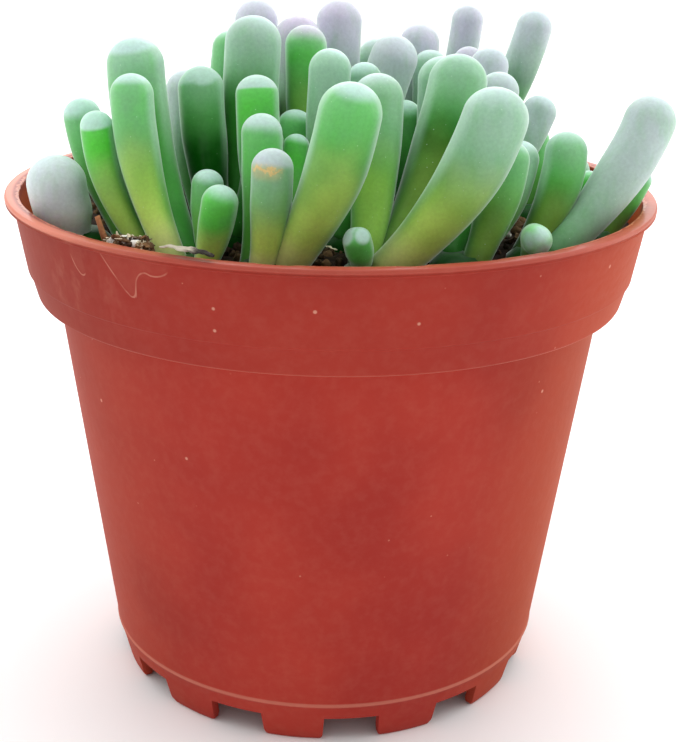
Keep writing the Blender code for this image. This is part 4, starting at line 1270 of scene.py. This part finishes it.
def look_of(name, number, tip, chance):
    """The eight numbers of a leaf: its own, or by a rule that greys the leaves towards the back."""
    own = LOOKS.get(name, ())[number:number + 1]
    if own and own[0]:
        return own[0]
    back = np.clip((tip[1] + 25.0) / 45.0, 0.0, 1.0)
    high = np.clip((tip[2] - SOIL_LEVEL - 8.0) / 12.0, 0.0, 1.0)
    return (chance.uniform(0.7, 1.7), chance.uniform(0.4, 1.2), chance.uniform(6.0, 14.0),
            0.25 + 0.55 * back * high, 0.45 * back * high * chance.uniform(0.5, 1.0),
            chance.uniform(0.3, 0.8), chance.uniform(0.1, 0.8) * (1 - back), chance.uniform(0.4, 0.9))

# %% [markdown]
# ## The surface of a leaf
# A leaf is a tube of round sections along its curve, closed by a dome that is a little flatter than a
# ball. No real leaf is quite round: each section is slightly oval, with soft dents along its length.
# Some windows have two or three flat faces; there the dome's radius is divided by a soft maximum of
# the distances to the faces.

# %% Build one leaf
LEAF_SIDES = 32
LEAF_ROWS = 24
DOME_ROWS = 15
DOME_FLATNESS = 0.93
OVAL = 0.026
DENT = 0.018
SOFTER = 2.1
DOME_END = 84.0
KEEL_CENTRE = np.array([0.0, 150.0, 0.0])
FACET_TILT = math.radians(46.0)
FACET_POWER = 14
FACET_EDGE = 0.86
FACET_CLEAR = 1.6


def curve_points(control, steps):
    """Points and directions of a cubic curve at some steps along it."""
    t = steps[:, None]
    first, second, third = np.diff(control, axis=0)
    slope = 3 * ((1 - t) ** 2 * first + 2 * t * (1 - t) * second + t * t * third)
    return curve_weights(steps) @ control, unit(slope)


def cut_facets(rings, axis, radius, number, depth, chance):
    """The dome's rings with flat faces, and how near each point comes to a face, 1 on its plane.

    The distance from the dome's centre is divided by the soft maximum of 1 and these values.
    """
    centre = rings[LEAF_ROWS - 1].mean(axis=0)
    across, deep = section_axes(axis)
    spin = (2 * np.pi * (np.arange(number) + 0.5) / number + chance.uniform(-0.3, 0.3))[:, None]
    normals = (math.sin(FACET_TILT) * (np.cos(spin) * across - np.sin(spin) * deep)
               + math.cos(FACET_TILT) * axis)
    off = rings - centre
    reach = np.clip(off / radius @ normals.T / depth, 0.0, None)
    shrink = (1.0 + (reach ** FACET_POWER).sum(axis=-1, keepdims=True)) ** (-1.0 / FACET_POWER)
    shrink[:LEAF_ROWS - 1] = 1.0
    return centre + off * shrink, reach.max(axis=-1)


def leaf_surface(control, radius, look, facets, seed):
    """Rings of a club with an oval, dented section and a dome; with each point's values for the finish.

    The keel is the cosine between the outward side of the leaf and the way that a point faces.
    """
    chance = np.random.default_rng(seed)
    steps = np.linspace(0.0, 1.0, LEAF_ROWS)
    middle, tangent = curve_points(control, steps)
    from_root = np.cumsum([0.0, *np.linalg.norm(np.diff(middle, axis=0), axis=1)])
    turn = round_angles(LEAF_SIDES)
    rise = np.radians(np.linspace(0.0, DOME_END, DOME_ROWS))[1:]
    dome = radius * DOME_FLATNESS
    middle = np.vstack([middle, middle[-1] + np.sin(rise)[:, None] * dome * tangent[-1]])
    tangent = np.vstack([tangent, np.repeat(tangent[-1:], DOME_ROWS - 1, axis=0)])
    size = np.concatenate([girth(steps) * radius, radius * np.cos(rise)])[:, None]
    along = np.concatenate([steps, np.ones(DOME_ROWS - 1)])[:, None]
    down = np.concatenate([from_root[-1] - from_root + dome, dome * (1 - np.sin(rise))])[:, None]
    phase = chance.uniform(0.0, 2 * np.pi, 6)
    grown = np.clip(along / 0.5, 0.0, 1.0)
    wave = (OVAL * np.cos(2 * (turn - phase[0])) + 0.5 * OVAL * np.cos(3 * (turn - phase[1]))
            + DENT * np.cos(turn - phase[2]) * np.sin(7.0 * along + phase[3])
            + 0.6 * DENT * np.cos(2 * turn - phase[4]) * np.sin(11.0 * along + phase[5]))
    rings = tube(middle, tangent, size * (1.0 - OVAL * grown + wave * grown), LEAF_SIDES)
    cap, soft = look[:2]
    lean = chance.uniform(-0.15, 0.15, 2) * radius
    window = cap + lean[0] * np.cos(turn) + lean[1] * np.sin(turn) - down
    if facets:
        rings, nearest = cut_facets(rings, tangent[-1], radius, *facets, chance)
        window = np.maximum(window, (nearest - FACET_EDGE) * radius * FACET_CLEAR)
    outward = unit((control[3] - KEEL_CENTRE) * (1.0, 1.0, 0.0))
    out = rings - rings.mean(axis=1, keepdims=True)
    return rings, {"along": along + 0 * turn, "down": down + 0 * turn,
                   "window": np.clip(window / (SOFTER * soft), -3.0, 3.0),
                   "keel": out / lengths(out)[..., None] @ outward}


print("points of a leaf:", (LEAF_ROWS + DOME_ROWS - 1) * LEAF_SIDES + 2)

# %% [markdown]
# ## Put the heads together
# The leaves of a head grow from one short stem, which ends just over the mix. A Boolean could melt
# them together, but below the mix nobody sees the joint, so the closed surfaces are joined in one
# mesh as they are. The looks go along as attributes, one value a point.

# %% Build the heads
CROWN_SIDES = 24
CROWN_SHAPE = np.array([0.93, 1.0, 1.0, 0.97, 0.66])
# what the finish reads on a crown, which lies below its leaves; dark 1 paints the crown in full painted
# shade;
# everything else is 0 there
CROWN_VALUES = {"down": 20.0, "window": -3.0, "keel": 1.0, "dark": 1.0, "reach": 5.0}


def crown_surface(crown):
    """The short stem that the leaves of a head grow from, as a closed tube."""
    x, y, radius = crown
    rises = (-CROWN_DEPTH, -CROWN_DEPTH + 0.4, -1.0, 0.0, CROWN_RISE + 0.3)
    middle = np.array([(x, y, SOIL_LEVEL + rise) for rise in rises])
    return closed_tube(tube(middle, UPRIGHT, radius * CROWN_SHAPE, CROWN_SIDES))


def make_head(number, name, crown):
    """All the leaves of a head and its crown as one piece, with their looks kept as attributes."""
    surfaces, values = [], []
    for rank, index in enumerate(np.nonzero(head_of == number)[0]):
        chance = np.random.default_rng(1000 + int(index))
        look = look_of(name, rank, controls[index][3], chance)
        rings, fields = leaf_surface(controls[index], leaf_radii[index], look,
                                     FACETS.get((name, rank)), 300 + int(index))
        surfaces.append(closed_tube(rings))
        tips = {"along": 1.0, "down": 0.0, "window": fields["window"][-1].max(), "keel": 1.0}
        values.append({key: [*field.ravel(), field[0].mean(), tips[key]] for key, field in fields.items()})
        values[-1].update(zip(LOOK_NAMES[2:], look[2:]), chance=chance.uniform())
    surfaces.append(crown_surface(crown))
    values.append(CROWN_VALUES)
    names = ("along", "down", "window", "keel", "chance", *LOOK_NAMES[2:])
    return mesh_piece(f"{name}_fine", join_surfaces(surfaces), {
        key: np.concatenate([np.broadcast_to(value.get(key, 0.0), len(surface[0]))
                             for value, surface in zip(values, surfaces)]) for key in names})


heads = [make_head(number, name, crown) for number, (name, (crown, _)) in enumerate(HEADS.items())]
print("leaf faces:", sum(len(head.data.polygons) for head in heads))

# %% [markdown]
# ## The leaf's finish
# The colour is built from the inside out: mid green tissue, darkened low down by painted shade, yellow
# at the root and freshest just under the window; then pale margins, a painted sheen; then the grey bloom
# from the tip down, with light painted low on the oldest leaf; then the window itself, a pale blue-green
# with a clear edge. A little light passes under the skin, and a soft sheen makes the outlines pale, as
# fine wax does.

# %% Make the leaf finish
LEAF_MID = srgb(98, 172, 98)
LEAF_LOWER = srgb(60, 164, 40)
LEAF_VIVID = srgb(88, 208, 60)
# deep green of the painted shade and of random patches
LEAF_DEEP = srgb(0, 92, 0)
LEAF_GOLD = srgb(206, 236, 112)
LEAF_BLUSH = srgb(232, 212, 166)
LEAF_BLOOM = srgb(166, 203, 194)
LEAF_GREY = srgb(198, 211, 216)
LEAF_MAUVE = srgb(204, 192, 216)
LEAF_CAP = srgb(200, 229, 227)
# pale of the sheen painted on the margins
LEAF_SHEEN_PALE = srgb(184, 226, 196)
# pale of the light painted low on the leaf at the left edge
LEAF_LIGHT_PALE = srgb(240, 243, 238)
LEAF_CRYSTAL = srgb(232, 246, 236)
LEAF_SCAR = srgb(240, 204, 134)
SCAR_PLACE = (-7.5, -30.4, 74.7)
SCAR_REACH = 2.6


def scar_layers(place, window):
    """A dry scar along the edge of the window of the short leaf in front: a soft tint and a thin line."""
    middle = [value * MM for value in SCAR_PLACE]
    distance = Field(add(place.tree, "ShaderNodeVectorMath", {0: place, 1: middle},
                         operation="DISTANCE"), "Value")
    beside = ramp(distance, SCAR_REACH * MM, SCAR_REACH * MM * 0.5)
    ragged = (grain(place, 0.7, 2.0, 0.6) - 0.5) * 3.0 + window
    return [(near(window, -0.9, 0.4, 1.4) * beside * 0.3, LEAF_SCAR),
            (near(ragged, -0.5, 0.05, 0.5) * beside * 0.8, LEAF_SCAR)]


def leaf_finish():
    """Green tissue with painted shade and painted sheen, yellow root, grey bloom and a pale window, blended
    by the leaf's attributes.
    """
    finish, shader, place = new_finish(
        "baby_toes_leaf_fine", 0.46, Specular_IOR_Level=0.12, Sheen_Weight=0.85, Sheen_Roughness=0.36,
        Sheen_Tint=(0.86, 1.0, 0.93, 1.0), Coat_Weight=0.1, Coat_Roughness=0.2, Subsurface_Weight=0.3,
        Subsurface_Scale=0.0022, Subsurface_Radius=(0.55, 1.0, 0.35))
    along, down, window, keel, chance, reach, bloom, mauve, vivid, gold, dark = (
        read(place, name) for name in ("along", "down", "window", "keel", "chance", *LOOK_NAMES[2:]))
    speckle = grain(place, 0.42, 2.0, 0.6)
    patches = grain(place, 3.5)
    washes = grain(place, 6.0, 1.0)
    streaks = grain(place, 1.6, squash=(1.0, 1.0, 0.3))
    # tissue: painted shade low down, as strong as dark says, with random patches of deeper green; fresh
    # under the window, yellow and flushed at the root
    low = ramp(down, 2.5, 13.0) * dark + (patches - 0.5) * (dark * 0.5) + (patches - 0.5) * 0.35
    fresh = ramp(down, 10.0, 3.0) * vivid * ramp(patches, 0.25, 0.6, 0.5, 1.0)
    root = ramp(washes * 0.5 + along, 1.15, 0.45) * gold * ramp(keel, 0.1, 0.9, 0.25, 1.0)
    blush = ramp(along, 0.3, 0.1) * ramp(gold, 0.55, 1.0, 0.0, 0.5)
    # painted sheen: the two margins, where the surface turns away from the leaf's outward side, are painted
    # paler than the faces
    painted_sheen = ramp(abs(keel), 0.66, 0.3, 0.0, 0.5) * ramp(along, 0.3, 0.8, 0.05, 1.0)
    # the bloom thins out towards the end of its reach
    share = down / reach
    cover = ramp(share, 1.15, 0.1) * bloom * ramp(streaks, 0.2, 0.6, 0.75, 1.0)
    grey = laid_on(blend(bloom, LEAF_BLOOM, LEAF_GREY), [(mauve * ramp(share, 1.0, 0.0), LEAF_MAUVE)])
    # painted light: a leaf whose bloom runs all the way down is painted paler low down, where shade falls
    # on it
    painted_light_low = ramp(reach, 40.0, 80.0) * ramp(along, 1.0, 0.55, 0.15, 0.9)
    pane = ramp(window, -0.5, 0.5) * ramp(dark, 0.6, 1.0, 0.8, 0.5)
    # pale crystals in the skin: the middles of one in a few cells
    distance, chosen = cells(place, 0.7)
    crystal = ramp(distance, 0.12, 0.05) * ramp(chosen, 0.5, 1.0, 0.0, 0.4)
    colour = blend(ramp(down, 4.0, 15.0, 0.0, 0.75), LEAF_MID, LEAF_LOWER)
    colour = laid_on(colour, [
        (low, LEAF_DEEP), (fresh, LEAF_VIVID), (root, LEAF_GOLD), (blush, LEAF_BLUSH),
        (painted_sheen, LEAF_SHEEN_PALE), (cover, grey), (painted_light_low, LEAF_LIGHT_PALE),
        (pane, blend(mauve, LEAF_CAP, LEAF_MAUVE)), *scar_layers(place, window), (crystal, LEAF_CRYSTAL)])
    # fine speckle, a little difference from leaf to leaf, and shade down in the crown
    shade = ((speckle - 0.5) * 0.28 + 1.0) * (chance * 0.12 + 0.94) * ramp(along, 0.0, 0.2, 0.6, 1.0)
    shaded(colour, shade).into(shader, "Base Color")
    bump(shader, patches * 1.4 + speckle * 0.15, 0.18)
    return finish


green = leaf_finish()
for head, name in zip(heads, HEADS):
    place_piece(head, green, name)
print("heads ready:", len(heads))

# %% [markdown]
# ## The dry needle
# A brown needle stands in the mix at the front left. It is a thin tube, a little bent, with five fine
# ridges along it and a few knobs. Its finish is the one of the mix, with a pale tip.

# %% Make the needle
TWIG_FOOT = np.array([-23.7, -28.6, 61.8])
TWIG_TIP = np.array([-26.6, -27.5, 68.6])
TWIG_RADII = (0.5, 0.34)
TWIG_ROWS = 22
TWIG_SIDES = 12
TWIG_BEND = 0.25


def make_twig():
    """A tube from foot to tip with a slight bend and knobs, tapering to its tip."""
    share = np.linspace(0.0, 1.0, TWIG_ROWS)[:, None]
    along = unit(TWIG_TIP - TWIG_FOOT)
    across = unit(np.cross(along, (0.0, 1.0, 0.0)))
    middle = TWIG_FOOT + share * (TWIG_TIP - TWIG_FOOT) + TWIG_BEND * np.sin(np.pi * share) * across
    radii = TWIG_RADII[0] + share * (TWIG_RADII[1] - TWIG_RADII[0])
    ridges = 1.0 - 0.06 * (1 + np.cos(5 * round_angles(TWIG_SIDES)))
    knobs = 1.0 - 0.1 * np.abs(np.sin(9.0 * share))
    surface = closed_tube(tube(middle, along, radii * knobs * ridges, TWIG_SIDES))
    return mesh_piece("twig_fine", surface, {"shade": np.append(np.repeat(share, TWIG_SIDES), [0.0, 1.0])})


twig = make_twig()
needle_finish = earthy("dry_needle_fine", srgb(84, 46, 26), srgb(178, 120, 80), 0.75, 0.4)
place_piece(twig, needle_finish, "twig")
print("needle faces:", len(twig.data.polygons))

# %% [markdown]
# ## The withered skin
# The shed skin of an old leaf lies along the lip. It is a crumpled ribbon: a sheet of points whose
# height is shaken by noise, given a thin underside. Each ring of points runs once over the top and
# back under it, so the same helper closes it as closes a tube.

# %% Make the withered skin
SKIN_PATH = np.array([(-18.4, -37.0, 67.55), (-16.4, -38.1, 67.70), (-14.2, -39.4, 67.60),
                      (-12.2, -40.5, 67.50)])
SKIN_WIDTHS = np.array([0.5, 1.5, 1.6, 0.6])
SKIN_THICKNESS = 0.16
SKIN_ROWS = 46
SKIN_HALF = 11
SMOOTHING = 7


def smooth_path(share, knots):
    """The skin's path at some shares of its length, each point a mean over its neighbours."""
    path = np.stack([np.interp(share, knots, side) for side in SKIN_PATH.T], axis=1)
    padded = np.pad(path, ((SMOOTHING // 2, SMOOTHING // 2), (0, 0)), mode="edge")
    kernel = np.ones(SMOOTHING) / SMOOTHING
    return np.stack([np.convolve(side, kernel, mode="valid") for side in padded.T], axis=1)


def make_skin():
    """A crumpled ribbon along a path: top and underside are joined round the edge as one closed ring."""
    share = np.linspace(0.0, 1.0, SKIN_ROWS)
    knots = np.linspace(0.0, 1.0, len(SKIN_PATH))
    path = smooth_path(share, knots)
    width = (np.interp(share, knots, SKIN_WIDTHS) * (0.85 + 0.15 * np.sin(17.0 * share)))[:, None]
    along = unit(np.gradient(path, axis=0))
    across = unit(np.cross(along, (0.0, 0.0, 1.0)))
    up = np.cross(across, along)
    side = np.concatenate([np.linspace(-1, 1, SKIN_HALF), np.linspace(1, -1, SKIN_HALF)])
    lift = np.repeat([0.0, SKIN_THICKNESS], SKIN_HALF)
    flat = path[:, None] + across[:, None] * (side * 0.5 * width)[..., None]
    crumple = 0.16 * layered_noise(flat * (1.0, 1.0, 0.0), 0.9, 71, 2)
    height = crumple + 0.08 * np.abs(side) ** 1.5 * width + lift
    surface = closed_tube(flat + up[:, None] * height[..., None])
    dead = np.repeat(np.clip((share - 0.5) / 0.16, 0.0, 1.0), 2 * SKIN_HALF)
    return mesh_piece("dead_leaf_skin_fine", surface, {"shade": 1.0 - np.append(dead, [0.0, 1.0])})


skin = make_skin()
skin_finish = earthy("withered_skin_fine", srgb(30, 22, 18), srgb(188, 178, 160), 0.85, 0.5)
place_piece(skin, skin_finish, "dead_leaf_skin")
print("skin faces:", len(skin.data.polygons))
